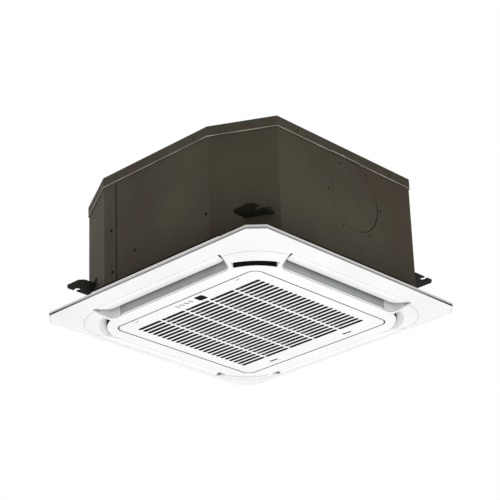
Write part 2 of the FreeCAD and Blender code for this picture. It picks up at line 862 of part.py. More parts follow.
openings = [
    rounded_prism(opening_half, opening_half, opening_radius, below_island, island_z + size.overrun),
    rounded_prism(return_half, return_half, return_radius, island_z + size.skin_thickness,
                  duct_top + size.overrun),
]
for quarter in range(len(SIDES)):
    openings.append(outlet(as_size(0), below_island, casing_bottom + size.overrun, quarter))
    bore = rod("x", size.vane_pin_radius + size.running_clearance, -size.vane_free_pin_reach - size.overrun,
               size.motor_seat_end + size.overrun, (-size.vane_pivot_reach, pivot_z))
    openings.append(turned(group(bore), quarter))


def corner_slot(sign_x, sign_y):
    """The dark arc between a corner cover and the island, cut right through the skin."""
    middle = math.degrees(math.atan2(sign_y, sign_x))
    wedge = corner_rod(size.corner_slot_centre, size.corner_slot_outer_radius, below_island, duct_top,
                       sign_x, sign_y)
    wedge.Angle = CORNER_SLOT_DEG
    wedge.Placement = FreeCAD.Placement(
        FreeCAD.Vector(), FreeCAD.Rotation(UP, middle - CORNER_SLOT_DEG / 2))
    core = corner_rod(size.corner_slot_centre, size.corner_slot_inner_radius, below_island - size.overrun,
                      duct_top + size.overrun, sign_x, sign_y)
    return cut(wedge, core)


def cover_form(clearance, thickness, sign_x, sign_y):
    """A corner cover, or its recess: a crescent of the panel's skin between the slot and the outer arc."""
    low, high = below_island, ceiling_z
    shell = cut(
        pyramid(size.rim_step, island_z, rim_z, 0, ceiling_z),
        pyramid(size.rim_step, island_z, rim_z, thickness, ceiling_z + thickness + size.overrun),
    )
    crescent = cut(
        corner_rod(size.corner_cover_centre, size.corner_cover_radius + clearance, low, high, sign_x, sign_y),
        corner_rod(size.corner_slot_centre, size.corner_slot_outer_radius, low - size.overrun,
                   high + size.overrun, sign_x, sign_y),
        *[outlet(size.duct_wall - clearance, low - size.overrun, high + size.overrun, quarter)
          for quarter in range(len(SIDES))],
    )
    return common(shell, crescent)


recess_thickness = size.corner_cover_thickness + size.corner_cover_clearance
for number, corner in enumerate(CORNERS, start=1):
    openings.append(corner_slot(*corner))
    openings.append(cover_form(size.corner_cover_clearance, recess_thickness, *corner))
    openings.append(boss(size.panel_screw_radius + size.screw_clearance, below_island,
                         casing_bottom + size.overrun, *corner))
    piece(f"corner_cover_{number}", cover_form(as_size(0), size.corner_cover_thickness, *corner))
head_low = island_z + size.panel_screw_depth + size.panel_screw_head_height
openings += [boss(size.panel_screw_head_radius + size.screw_clearance, below_island,
                  head_low + size.panel_screw_head_height, *corner) for corner in CORNERS]
lugs = []
for sign in (1, -1):
    lug_ends = (sign * size.hinge_place_x - size.hinge_lug_width / 2,
                sign * size.hinge_place_x + size.hinge_lug_width / 2)
    arm = box(lug_ends, (-return_half - size.duct_wall, hinge_y),
              (hinge_z - size.hinge_lug_radius, hinge_z + size.hinge_lug_radius))
    eye = rod("x", size.hinge_lug_radius, *lug_ends, (hinge_y, hinge_z))
    lug_bore = rod("x", size.hinge_pin_radius + size.running_clearance,
                   lug_ends[0] - size.overrun, lug_ends[1] + size.overrun, (hinge_y, hinge_z))
    lugs.append(cut(fuse(arm, eye), lug_bore))
piece("panel_frame", fuse(cut(fuse(skin, kept_walls), *openings), *lugs))

panel_screws = []
for corner in CORNERS:
    head = boss(size.panel_screw_head_radius, head_low, head_low + size.panel_screw_head_height, *corner)
    shank = boss(size.panel_screw_radius, head_low,
                 casing_bottom + size.tab_thickness + size.panel_screw_proud, *corner)
    panel_screws.append(fuse(head, shank))
piece("panel_screws", group(*panel_screws))
seal_half = return_half + size.duct_wall + size.seal_overlap
seals = [cut(
    rounded_prism(seal_half, seal_half, return_radius + size.duct_wall, duct_top, casing_bottom),
    rounded_prism(return_half, return_half, return_radius, duct_top - size.overrun,
                  casing_bottom + size.overrun),
)]
for quarter in range(len(SIDES)):
    seals.append(cut(outlet(size.duct_wall, duct_top, casing_bottom, quarter),
                     outlet(as_size(0), duct_top - size.overrun, casing_bottom + size.overrun, quarter)))
piece("panel_seal", group(*seals))

# Vanes: a tilted tongue with two ears and pins, and a motor on one pin
for quarter, side in enumerate(SIDES):
    blade = new_body()
    outline = sketch_on(blade, 0)
    wide, narrow = size.vane_outer_length / 2, size.vane_inner_length / 2
    draw_loop(outline, [(-wide, 0), (wide, 0), (narrow, size.vane_width), (-narrow, size.vane_width)])
    plate_pad = pad(blade, outline, size.vane_thickness)
    doc.recompute()
    tips = [f"Edge{index}" for index, edge in enumerate(plate_pad.Shape.Edges, start=1)
            if abs(edge.tangentAt(edge.FirstParameter).z) > 0.9
            and edge.CenterOfMass.y > size.vane_width.value / 2]
    tip_fillet = blade.newObject("PartDesign::Fillet", "Tips")
    tip_fillet.Base = (plate_pad, tips)
    bind(tip_fillet, "Radius", size.vane_corner_radius)
    blade.Placement = FreeCAD.Placement(
        FreeCAD.Vector(), FreeCAD.Rotation(FreeCAD.Vector(1, 0, 0), VANE_TILT_DEG))
    bind(blade, "Placement.Base.y", size.vane_edge_gap - size.outlet_outer_reach)
    bind(blade, "Placement.Base.z", island_z + size.vane_edge_above_island)
    parts = [blade]
    ear_y = (-size.vane_pivot_reach - size.vane_ear_depth / 2,
             -size.vane_pivot_reach + size.vane_ear_depth / 2)
    ear_z = (pivot_z - size.vane_ear_below_pivot, pivot_z + size.vane_ear_above_pivot)
    ear_in = size.vane_ear_half_place - size.vane_ear_thickness
    pivot = (-size.vane_pivot_reach, pivot_z)
    parts.append(box((ear_in, size.vane_ear_half_place), ear_y, ear_z))
    parts.append(box((-size.vane_ear_half_place, -ear_in), ear_y, ear_z))
    parts.append(rod("x", size.vane_pin_radius, ear_in, size.vane_pin_reach, pivot))
    parts.append(rod("x", size.vane_pin_radius, -size.vane_free_pin_reach, -ear_in, pivot))
    piece(f"vane_{side}", turned(fuse(*parts), quarter))
    motor_end = size.motor_seat_end + size.vane_motor_length
    hub = rod("x", size.vane_pin_radius + size.running_clearance, size.motor_seat_end - size.overrun,
              size.motor_seat_end + size.vane_motor_hub_depth, pivot)
    motor = cut(rod("x", size.vane_motor_radius, size.motor_seat_end, motor_end, pivot), hub)
    piece(f"vane_motor_{side}", turned(motor, quarter))

# Intake grille: slotted skin, ribs behind it, hinge pins on the display side
grille_half = size.grille_width / 2
grille_top = island_z + size.grille_skin
rib_top = grille_top + size.grille_rib_height
rib_out = grille_half - size.grille_rib_inset
rib_in = rib_out - size.grille_rib_thickness
rib_radius = size.grille_corner_radius - size.grille_rib_inset

grille = new_body()
face_sketch = sketch_on(grille, island_z)
draw_rounded(face_sketch, grille_half, grille_half, size.grille_corner_radius)
face_pad = pad(grille, face_sketch, size.grille_skin)
doc.recompute()
rim_edges = [f"Edge{index}" for index, edge in enumerate(face_pad.Shape.Edges, start=1)
             if abs(edge.BoundBox.ZMax - island_z.value) < abs(edge.BoundBox.ZMax - grille_top.value)]
rim_chamfer = grille.newObject("PartDesign::Chamfer", "Edge")
rim_chamfer.Base = (face_pad, rim_edges)
bind(rim_chamfer, "Size", size.grille_edge_chamfer)
slots = []
first_x = size.slot_pitch_x * (SLOT_COLUMNS - 1) / 2
first_y = size.slot_pitch_y * (SLOT_ROWS - 1) / 2 + size.slot_field_shift
last_y = size.slot_pitch_y * (SLOT_ROWS - 1) - first_y
slot = rounded_prism(size.slot_length / 2, size.slot_height / 2, size.slot_end_radius,
                     below_island, grille_top + size.overrun)
doc.recompute()
for column in range(SLOT_COLUMNS):
    for line in range(SLOT_ROWS):
        x = column * size.slot_pitch_x - first_x
        y = line * size.slot_pitch_y - first_y
        copy = doc.addObject("Part::Feature", "Slot")
        copy.Shape = slot.Shape
        bind(copy, "Placement.Base.x", x)
        bind(copy, "Placement.Base.y", y)
        slots.append(copy)

ribs = [cut(
    rounded_prism(rib_out, rib_out, rib_radius, grille_top, rib_top),
    rounded_prism(rib_in, rib_in, rib_radius - size.grille_rib_thickness,
                  grille_top - size.overrun, rib_top + size.overrun),
)]
for column in range(SLOT_COLUMNS - 1):
    rib_x = (column + 1) * size.slot_pitch_x - first_x - size.slot_pitch_x / 2
    ribs.append(box((rib_x - size.grille_rib_thickness / 2, rib_x + size.grille_rib_thickness / 2),
                    (-first_y - size.slot_height, last_y + size.slot_height), (grille_top, rib_top)))

windows, pins = [], []
for sign in (1, -1):
    notch = size.hinge_lug_width / 2 + size.hinge_notch_margin
    place = sign * size.hinge_place_x
    windows.append(box((place - notch, place + notch),
                       (-grille_half - size.overrun,
                        hinge_y + size.hinge_lug_radius + size.hinge_notch_margin),
                       (below_island, rib_top + size.overrun)))
    pins.append(rod("x", size.hinge_pin_radius, place - notch, place + notch, (hinge_y, hinge_z)))
    slot_half = size.latch_button_width / 2 + size.latch_slot_margin
    place = sign * size.latch_place_x
    button_half = size.latch_button_depth / 2 + size.latch_slot_margin
    windows.append(box((place - slot_half, place + slot_half),
                       (size.latch_place_y - button_half - size.latch_travel,
                        size.latch_place_y + button_half),
                       (below_island, grille_top + size.overrun)))
    nose_half = size.latch_nose_width / 2 + size.latch_slot_margin
    windows.append(box((place - nose_half, place + nose_half),
                       (rib_in - size.overrun, rib_out + size.overrun),
                       (grille_top, rib_top + size.overrun)))
windows.append(rounded_prism(size.lens_width / 2, size.lens_depth / 2, size.lens_corner_radius,
                             below_island, grille_top + size.overrun, size.lens_place_x, -size.lens_place_y))


def indicator(index, grow, low, high):
    """One slanted indicator window, or its hole in the skin."""
    x = size.indicator_first_x + index * size.indicator_pitch
    half_width, half_height = size.indicator_width / 2 + grow, size.indicator_height / 2 + grow
    lean, y = size.indicator_slant / 2, -size.indicator_place_y
    return prism([
        (x - half_width - lean, y - half_height), (x + half_width - lean, y - half_height),
        (x + half_width + lean, y + half_height), (x - half_width + lean, y + half_height),
    ], low, high)


windows += [indicator(index, 0, below_island, grille_top + size.overrun) for index in range(INDICATORS)]
piece("intake_grille", fuse(cut(fuse(grille, *ribs), group(*slots), *windows), *pins))

flange_top = grille_top + size.lens_flange_thickness
board_z = flange_top + size.board_lift
clear_x = size.lens_width / 2 - size.lens_clearance
clear_y = size.lens_depth / 2 - size.lens_clearance
lens_at = (size.lens_place_x, -size.lens_place_y)
piece("receiver_lens", fuse(
    rounded_prism(clear_x, clear_y, size.lens_corner_radius - size.lens_clearance,
                  island_z, grille_top, *lens_at),
    rounded_prism(clear_x + size.lens_flange, clear_y + size.lens_flange, size.lens_corner_radius,
                  grille_top, flange_top, *lens_at),
))
piece("indicator_lenses", group(*[
    indicator(index, -size.lens_clearance, island_z, board_z - size.board_lift) for index in range(INDICATORS)
]))
board_low = size.indicator_first_x - size.board_margin
board_high = size.lens_place_x + size.lens_width / 2 + size.board_margin
piece("display_board", box(
    (board_low, board_high),
    (-size.lens_place_y - size.lens_depth / 2, -size.lens_place_y + size.lens_depth / 2),
    (board_z, board_z + size.board_thickness),
))

latch_low = grille_top + size.latch_lift
latch_high = latch_low + size.latch_plate_thickness
for sign, name in ((-1, "left"), (1, "right")):
    place = sign * size.latch_place_x
    y = size.latch_place_y
    nose_tip = opening_half - size.latch_nose_gap
    piece(f"latch_{name}", fuse(
        box((place - size.latch_button_width / 2, place + size.latch_button_width / 2),
            (y - size.latch_button_depth / 2, y + size.latch_button_depth / 2), (island_z, latch_low)),
        box((place - size.latch_plate_width / 2, place + size.latch_plate_width / 2),
            (rib_in - size.latch_slot_margin - size.latch_plate_depth, rib_in - size.latch_slot_margin),
            (latch_low, latch_high)),
        box((place - size.latch_nose_width / 2, place + size.latch_nose_width / 2),
            (rib_in - size.latch_slot_margin, nose_tip), (latch_low, latch_high)),
    ))

# Filter on the ribs of the grille
filter_half = size.filter_width / 2
filter_inner = filter_half - size.filter_frame_width
filter_top = rib_top + size.filter_thickness
mesh_low = rib_top + (size.filter_thickness - size.filter_mesh_thickness) / 2
piece("filter_frame", cut(
    box((-filter_half, filter_half), (-filter_half, filter_half), (rib_top, filter_top)),
    box((-filter_inner, filter_inner), (-filter_inner, filter_inner),
        (rib_top - size.overrun, filter_top + size.overrun)),
))
piece("filter_mesh", box((-filter_inner, filter_inner), (-filter_inner, filter_inner),
                         (mesh_low, mesh_low + size.filter_mesh_thickness)))

# Foam lining and drain pan
liner_out = size.sheet_thickness + size.fit_gap
liner_in = liner_out + size.liner_thickness
liner_roof = cover_underside - size.liner_top_thickness
piece("insulation_liner", cut(
    prism(octagon(-liner_out), pan_top, cover_underside),
    prism(octagon(-liner_in), pan_top - size.overrun, liner_roof),
    rod("z", size.motor_hole_radius, liner_roof - size.overrun, cover_underside + size.overrun, (0, 0)),
    *wall_holes(-1, *entry_holes), *pilots,
))
coil_half = size.coil_width / 2
coil_in = coil_half - size.coil_thickness
coil_bottom = pan_top - size.pan_trough_depth
coil_top = coil_bottom + size.coil_height
pan_low, pan_high = casing_bottom - size.overrun, pan_top + size.overrun
trough = cut(
    rounded_prism(coil_half + size.pan_trough_margin, coil_half + size.pan_trough_margin,
                  size.coil_corner_radius + size.pan_trough_margin, coil_bottom, pan_high),
    rounded_prism(coil_in - size.pan_trough_margin, coil_in - size.pan_trough_margin,
                  size.coil_corner_radius - size.coil_thickness - size.pan_trough_margin,
                  coil_bottom - size.overrun, pan_high + size.overrun),
)
passages = []
for sign in (1, -1):
    ends = (size.passage_inner_reach, size.passage_outer_reach)
    ends = ends if sign > 0 else (-ends[1], -ends[0])
    half_y, half_x = size.passage_y_length / 2, size.passage_x_length / 2
    passages.append(box((-half_y, half_y), ends, (pan_low, pan_high)))
    passages.append(box(ends, (-half_x, half_x), (pan_low, pan_high)))
piece("drain_pan", cut(
    prism(octagon(-liner_out), casing_bottom, pan_top),
    rod("z", size.pan_bore_radius, pan_low, pan_high, (0, 0)), trough, *passages,
))

# Heat exchanger ring, open at one corner, with its pipes
gap_x, gap_y = -size.coil_gap_reach, size.coil_gap_reach
piece("coil", cut(
    rounded_prism(coil_half, coil_half, size.coil_corner_radius, coil_bottom, coil_top),
    rounded_prism(coil_in, coil_in, size.coil_corner_radius - size.coil_thickness,
                  coil_bottom - size.overrun, coil_top + size.overrun),
    box((-coil_half - size.overrun, gap_x), (gap_y, coil_half + size.overrun),
        (coil_bottom - size.overrun, coil_top + size.overrun)),
))
piece("coil_end_plates", group(
    box((-coil_half, -coil_in), (gap_y, gap_y + size.end_plate_thickness), (coil_bottom, coil_top)),
    box((gap_x - size.end_plate_thickness, gap_x), (coil_in, coil_half), (coil_bottom, coil_top)),
))
stub_end = -casing_half_x - size.pipe_stub
for name, radius, union_radius, y in (
    ("gas", size.gas_pipe_radius, size.gas_union_radius, size.gas_pipe_y),
    ("liquid", size.liquid_pipe_radius, size.liquid_union_radius, size.liquid_pipe_y),
):
    at = (y, size.pipe_level)
    bore = radius - size.pipe_wall
    piece(f"{name}_pipe", tube("x", radius, bore, stub_end, -coil_half, at))
    union_low = stub_end - size.union_length + size.union_lap
    union = tube("x", union_radius, bore, union_low, union_low + size.union_length, at)
    piece(f"{name}_union", cut(union, rod("x", radius, stub_end, -casing_half_x, at)))

# Drain pump with its impeller, and the float switch beside it
pump_at = (size.pump_x, size.pump_y)
cup_inside = size.pump_cup_top - size.pump_cup_roof
pump_body = fuse(
    rod("z", size.pump_can_radius, size.pump_can_bottom, size.pump_can_top, pump_at),
    rod("z", size.pump_stem_radius, cup_inside, size.pump_can_bottom, pump_at),
    rod("z", size.pump_cup_radius, size.pump_cup_bottom, size.pump_cup_top, pump_at),
)
piece("drain_pump", cut(
    pump_body,
    rod("z", size.pump_cup_inner_radius, size.pump_cup_bottom - size.overrun, cup_inside, pump_at),
    rod("z", size.pump_shaft_radius + size.running_clearance, cup_inside - size.overrun,
        size.pump_shaft_top + size.running_clearance, pump_at),
))
blade_top = size.pump_blade_bottom + size.pump_blade_height
impeller = [rod("z", size.pump_shaft_radius, size.pump_blade_bottom, size.pump_shaft_top, pump_at)]
for index in range(PUMP_BLADES // 2):
    half_thick, half_long = size.pump_blade_thickness / 2, size.pump_blade_radius
    spans = [(-half_long, half_long), (-half_thick, half_thick)]
    across, along = spans if index == 0 else spans[::-1]
    impeller.append(box(
        (size.pump_x + across[0], size.pump_x + across[1]), (size.pump_y + along[0], size.pump_y + along[1]),
        (size.pump_blade_bottom, blade_top),
    ))
piece("pump_impeller", fuse(*impeller))
drain_bore = size.drain_pipe_inner_radius - size.drain_pipe_wall
drain_at = (size.pump_y, size.drain_pipe_level)
drain_end = -size.drain_pipe_reach
piece("drain_pipe", cut(
    fuse(
        rod("x", size.drain_pipe_radius, drain_end, -casing_half_x, drain_at),
        rod("x", size.drain_pipe_inner_radius, drain_end, size.pump_x, drain_at),
    ),
    rod("x", drain_bore, drain_end - size.overrun, size.pump_x + size.overrun, drain_at),
    rod("z", size.pump_can_radius, size.pump_can_bottom - size.overrun,
        size.pump_can_top + size.overrun, pump_at),
))
float_at = (size.float_x, size.float_y)
foot_top = pan_top + size.float_foot_height
stem_top = pan_top + size.float_stem_height
ring_low = foot_top + size.float_ring_lift
piece("float_stem", fuse(
    rod("z", size.float_foot_radius, pan_top, foot_top, float_at),
    rod("z", size.float_stem_radius, pan_top, stem_top, float_at),
    rod("z", size.float_cap_radius, stem_top - size.float_cap_height, stem_top, float_at),
))
piece("float_ring", tube("z", size.float_ring_radius, size.float_stem_radius + size.float_bore_clearance,
                         ring_low, ring_low + size.float_ring_height, float_at))

# Bell mouth, fan wheel and motor
flange_low = casing_bottom - size.bell_flange_thickness
throat_top = casing_bottom + size.bell_height
mouth, throat = size.bell_mouth_radius, size.bell_throat_radius
bell = new_body()
revolve(bell, [
    (size.bell_flange_radius, flange_low), (size.bell_flange_radius, casing_bottom), (mouth, casing_bottom),
    (throat + size.bell_wall, casing_bottom + size.bell_height / 2), (throat + size.bell_wall, throat_top),
    (throat, throat_top), (throat, casing_bottom + size.bell_height / 2),
    (mouth - size.bell_wall, flange_low),
])
piece("bell_mouth", bell)

wheel = new_body()
hub_top = size.fan_hub_z + size.fan_hub_height
revolve(wheel, [
    (size.shaft_radius, size.fan_hub_z), (size.fan_cone_foot_radius, size.fan_hub_z),
    (size.fan_cone_radius, size.fan_plate_z), (size.fan_radius, size.fan_plate_z),
    (size.fan_radius, size.fan_plate_z + size.fan_wall),
    (size.fan_cone_radius - size.fan_wall, size.fan_plate_z + size.fan_wall),
    (size.fan_cone_foot_radius - size.fan_wall, size.fan_hub_z + size.fan_wall),
    (size.fan_hub_radius, size.fan_hub_z + size.fan_wall), (size.fan_hub_radius, hub_top),
    (size.shaft_radius, hub_top),
])
blade_low, blade_high = size.fan_shroud_z, size.fan_plate_z + size.fan_wall / 2
blade_sketch = sketch_on(wheel, blade_low + size.fan_wall / 2)
root_x, tip_x = size.fan_blade_inner_radius, size.fan_radius - size.fan_blade_sweep / 2 + size.fan_blade_inset
sweep, thick = size.fan_blade_sweep, size.fan_blade_thickness
draw_loop(blade_sketch, [
    (root_x, 0), (root_x + thick, -thick), ((root_x + tip_x) / 2 + thick, sweep / 2 - thick),
    (tip_x, sweep), (tip_x - thick, sweep + thick), ((root_x + tip_x) / 2 - thick, sweep / 2 + thick),
])
blade_pad = pad(wheel, blade_sketch, blade_high - blade_low - size.fan_wall / 2)
pattern = wheel.newObject("PartDesign::PolarPattern", "Blades")
pattern.Originals = [blade_pad]
pattern.Axis = (blade_sketch, ["N_Axis"])
pattern.Angle = 360
pattern.Occurrences = FAN_BLADES
wheel.Tip = pattern
revolve(wheel, [
    (size.fan_inlet_radius, size.fan_inlet_z), (size.fan_inlet_radius + size.fan_wall, size.fan_inlet_z),
    (size.fan_inlet_radius + size.fan_wall, size.fan_shroud_z), (size.fan_radius, size.fan_shroud_z),
    (size.fan_radius, size.fan_shroud_z + size.fan_wall),
    (size.fan_inlet_radius, size.fan_shroud_z + size.fan_wall),
])
piece("fan_wheel", wheel)
shaft_top = size.motor_bottom + size.shaft_depth
piece("motor_shaft", rod("z", size.shaft_radius, size.shaft_bottom, shaft_top, (0, 0)))
nut_low = size.fan_hub_z - size.nut_height
piece("fan_nut", cut(hex_prism(size.nut_radius, nut_low, size.fan_hub_z),
                     rod("z", size.shaft_radius, nut_low - size.overrun,
                         size.fan_hub_z + size.overrun, (0, 0))))
motor_top = cover_underside - size.bush_height
piece("fan_motor", cut(
    fuse(
        rod("z", size.motor_radius, size.motor_bottom, motor_top, (0, 0)),
        rod("z", size.motor_flange_radius, motor_top - size.motor_flange_thickness, motor_top, (0, 0)),
    ),
    rod("z", size.shaft_radius + size.running_clearance, size.motor_bottom - size.overrun,
        shaft_top + size.running_clearance, (0, 0)),
))
bush_turns = [2 * math.pi * index / BUSHES for index in range(BUSHES)]
piece("motor_bushes", group(*[
    rod("z", size.bush_radius, motor_top, cover_underside,
        (size.bush_circle_radius * math.cos(turn), size.bush_circle_radius * math.sin(turn)))
    for turn in bush_turns
]))

# Control box under the bell mouth's flange
control_half = size.control_length / 2
control_y = (size.control_near, size.control_near + size.control_depth)
control_low = flange_low - size.control_height
inner = size.control_wall
piece("control_box", cut(
    box((-control_half, control_half), control_y, (control_low, flange_low)),
    box((inner - control_half, control_half - inner), (control_y[0] + inner, control_y[1] - inner),
        (control_low - size.overrun, flange_low - inner)),
))
piece("control_cover", box((-control_half, control_half), control_y,
                           (control_low - size.control_cover_thickness, control_low)))
margin = inner + size.control_board_margin
board_top = flange_low - inner - size.control_board_lift
board_y = (control_y[0] + margin, control_y[1] - margin)
posts = [
    rod("z", size.control_post_radius, board_top, flange_low - inner,
        (sign * (control_half - margin - size.control_post_radius), (board_y[0] + board_y[1]) / 2))
    for sign in (1, -1)
]
piece("control_board", fuse(
    box((margin - control_half, control_half - margin), board_y,
        (board_top - size.board_thickness, board_top)),
    *posts,
))
terminal_high = board_top - size.board_thickness
piece("terminal_block", box(
    (-size.terminal_length / 2, size.terminal_length / 2),
    (board_y[0], board_y[0] + size.terminal_depth),
    (terminal_high - size.terminal_height, terminal_high),
))

# Wiring entry
grommet_at = (size.grommet_y, size.grommet_z)
grommet_low = -casing_half_x - size.grommet_flange
grommet_high = size.grommet_depth - casing_half_x
piece("wiring_grommet", cut(
    fuse(
        rod("x", size.grommet_flange_radius, grommet_low, -casing_half_x, grommet_at),
        rod("x", size.grommet_neck_radius, -casing_half_x, grommet_high, grommet_at),
    ),
    rod("x", size.grommet_bore_radius, grommet_low - size.overrun, grommet_high + size.overrun, grommet_at),
))

doc.recompute()
failed = [item.Label for item in doc.Objects if {"Invalid", "Error"} & set(item.State)]
failed += [label for label, item in pieces.items() if item.Shape.isNull() or not item.Shape.isValid()]
if failed:
    raise RuntimeError(f"not built: {failed}")

os.makedirs("parts", exist_ok=True)
for label, item in pieces.items():
    item.Shape.exportStep(f"parts/{label}.step")
print(f"{len(pieces)} sub-parts written")
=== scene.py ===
# %% [markdown]
# # A cassette air conditioner, dressed for its portrait
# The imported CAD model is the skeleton: every node is already in its place, in metres, with the hanging
# brackets' underside at z = 0. This lesson gives each visible surface its finish, adds the moulded and
# folded details that the solids leave plain, and sets up the camera and a plain studio.

# %% Load the frame
import json
import math

import bmesh
import bpy
import numpy as np
from mathutils import Matrix, Vector


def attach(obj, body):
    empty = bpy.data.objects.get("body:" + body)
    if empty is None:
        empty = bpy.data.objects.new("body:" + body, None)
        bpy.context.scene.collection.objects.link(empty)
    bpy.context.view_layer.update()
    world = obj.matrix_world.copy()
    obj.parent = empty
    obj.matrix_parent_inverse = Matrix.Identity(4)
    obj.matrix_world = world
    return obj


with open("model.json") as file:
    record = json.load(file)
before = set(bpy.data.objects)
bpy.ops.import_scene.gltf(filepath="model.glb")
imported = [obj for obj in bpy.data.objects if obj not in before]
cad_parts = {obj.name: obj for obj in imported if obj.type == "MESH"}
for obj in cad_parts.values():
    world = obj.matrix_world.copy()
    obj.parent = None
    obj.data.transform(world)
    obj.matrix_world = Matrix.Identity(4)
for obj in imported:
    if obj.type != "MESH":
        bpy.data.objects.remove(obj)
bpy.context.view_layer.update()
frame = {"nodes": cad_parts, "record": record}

nodes = frame["nodes"]

# %% [markdown]
# ## Camera
# The photograph was taken from below the ceiling with a long lens, so the verticals almost stay parallel.
# Seven numbers were solved from edges whose length the CAD model gives: two angles, a roll, the distance,
# the focal length and the two shifts of the picture's centre. The camera looks at the unit's middle, at the
# height of the panel's rim.

# %% Place the camera
IMAGE_SIZE, SENSOR_WIDTH, CLIP_END = 500, 36, 40
RIM_Z = -0.072
AZIMUTH, ELEVATION, ROLL = (math.radians(angle) for angle in (42.954, -22.64, -2.089))
DISTANCE, FOCAL_PIXELS, CENTRE_U, CENTRE_V = 3.9228, 1807.4, 251.5, 314.8

target = Vector((0, 0, RIM_Z))
level = math.cos(ELEVATION)
back = Vector((math.sin(AZIMUTH) * level, -math.cos(AZIMUTH) * level, math.sin(ELEVATION)))
right = (-back).cross(Vector((0, 0, 1))).normalized()
up = right.cross(-back)
right, up = (right * math.cos(ROLL) + up * math.sin(ROLL), up * math.cos(ROLL) - right * math.sin(ROLL))
lens = bpy.data.cameras.new("camera")
lens.sensor_width, lens.clip_end = SENSOR_WIDTH, CLIP_END
lens.lens = FOCAL_PIXELS / IMAGE_SIZE * SENSOR_WIDTH
lens.shift_x = (IMAGE_SIZE / 2 - CENTRE_U) / IMAGE_SIZE
lens.shift_y = (CENTRE_V - IMAGE_SIZE / 2) / IMAGE_SIZE
camera = bpy.data.objects.new("camera", lens)
turned = Matrix((right, up, back)).transposed().to_4x4()
camera.matrix_world = Matrix.Translation(target + back * DISTANCE) @ turned
bpy.context.collection.objects.link(camera)
bpy.context.scene.camera = camera
print("lens", round(lens.lens, 1), "mm, distance", round(DISTANCE, 3), "m")

# %% [markdown]
# ## Finishes
# A finish is a small network of nodes. Four helpers keep the lines about finishes short: one adds a node,
# one links two nodes, one does a sum, and one takes a direction or a place apart. They serve the world as
# well.

# %% Helpers for nodes
def add_node(finish, kind, **values):
    """A node of a finish; values are its input sockets by name, with underscores for spaces."""
    node = finish.node_tree.nodes.new(kind)
    for socket, value in values.items():
        node.inputs[socket.replace("_", " ")].default_value = value
    return node

def join(finish, source, target_socket):
    """Link an output of one node to an input of another."""
    finish.node_tree.links.new(source, target_socket)

def reckon(finish, operation, *terms):
    """The result of one sum; each term is a number or the output of another node."""
    node = finish.node_tree.nodes.new("ShaderNodeMath")
    node.operation = operation
    for socket, term in zip(node.inputs, terms):
        if isinstance(term, float):
            socket.default_value = term
        else:
            join(finish, term, socket)
    return node.outputs[0]

def split(finish, source):
    """The three parts of a direction or a place."""
    parts = add_node(finish, "ShaderNodeSeparateXYZ")
    join(finish, source, parts.inputs[0])
    return parts.outputs

print("node helpers ready")

# %% [markdown]
# A finish could be one flat colour, but moulded plastic, coated sheet and foam all drift a little in tone
# and carry a fine relief. So each finish starts from the same recipe: soft patches between two tones, and a
# fine grain that moves the roughness and the relief. Finishes with a pattern of their own add to it below.

# %% Recipe for a finish
TONE_FROM, TONE_TO, GLOSS_SWING = 0.36, 0.64, 0.07

def mottled(name, dark, light, patch, grain, relief, roughness, metallic=0.0, shine=0.5):
    """Colour drifts between two tones in patches of a given size; a finer grain moves roughness and relief.
    Sizes are in metres, and both patterns follow the piece's own coordinates. shine is the level of the
    surface's clear reflection, from none at zero to that of plain plastic at a half."""
    finish = bpy.data.materials.new(name)
    finish.use_nodes = True
    shader = finish.node_tree.nodes["Principled BSDF"]
    shader.inputs["Metallic"].default_value = metallic
    shader.inputs["Specular IOR Level"].default_value = shine
    where = add_node(finish, "ShaderNodeTexCoord")
    drift = add_node(finish, "ShaderNodeTexNoise", Scale=1 / patch, Detail=3.0)
    tone = add_node(finish, "ShaderNodeValToRGB")
    first, last = tone.color_ramp.elements
    first.position, last.position = TONE_FROM, TONE_TO
    first.color, last.color = (*dark, 1), (*light, 1)
    speckle = add_node(finish, "ShaderNodeTexNoise", Scale=1 / grain, Detail=2.0)
    gloss = add_node(finish, "ShaderNodeMapRange", To_Min=roughness - GLOSS_SWING,
                     To_Max=roughness + GLOSS_SWING)
    bump = add_node(finish, "ShaderNodeBump", Strength=0.5, Distance=relief)
    for texture in (drift, speckle):
        join(finish, where.outputs["Object"], texture.inputs["Vector"])
    join(finish, drift.outputs["Fac"], tone.inputs["Fac"])
    join(finish, tone.outputs["Color"], shader.inputs["Base Color"])
    join(finish, speckle.outputs["Fac"], gloss.inputs["Value"])
    join(finish, gloss.outputs["Result"], shader.inputs["Roughness"])
    join(finish, speckle.outputs["Fac"], bump.inputs["Height"])
    join(finish, bump.outputs["Normal"], shader.inputs["Normal"])
    where.name, tone.name, bump.name = "where", "tone", "bump"
    return finish

def own_place(finish):
    """The output that gives a point's place in the piece's own coordinates."""
    return finish.node_tree.nodes["where"].outputs["Object"]

def recolour(finish, source):
    """Send a new colour to the shader in place of the plain tone."""
    join(finish, source, finish.node_tree.nodes["Principled BSDF"].inputs["Base Color"])

def grey(tone):
    """A neutral colour."""
    return (tone, tone, tone)

print("recipe ready")

# %% [markdown]
# The casing is dull coated sheet, olive brown, and its tone is made a little darker low down, which is
# painted shade. That shade could be painted on vertices; here the height in the piece's own coordinates
# multiplies the tone, so all casing sheets agree without painting any vertices.

# %% Coated casing sheet
def painted_shade_by_height(finish, low, high, darkest):
    """Painted shade: multiply the tone by a factor that rises from darkest at height low to one at height
    high.
    """
    factor = add_node(finish, "ShaderNodeMapRange", From_Min=low, From_Max=high, To_Min=darkest, To_Max=1.0)
    shade = finish.node_tree.nodes.new("ShaderNodeVectorMath")
    shade.operation = "MULTIPLY"
    join(finish, split(finish, own_place(finish))["Z"], factor.inputs["Value"])
    join(finish, finish.node_tree.nodes["tone"].outputs["Color"], shade.inputs[0])
    join(finish, factor.outputs["Result"], shade.inputs[1])
    recolour(finish, shade.outputs["Vector"])

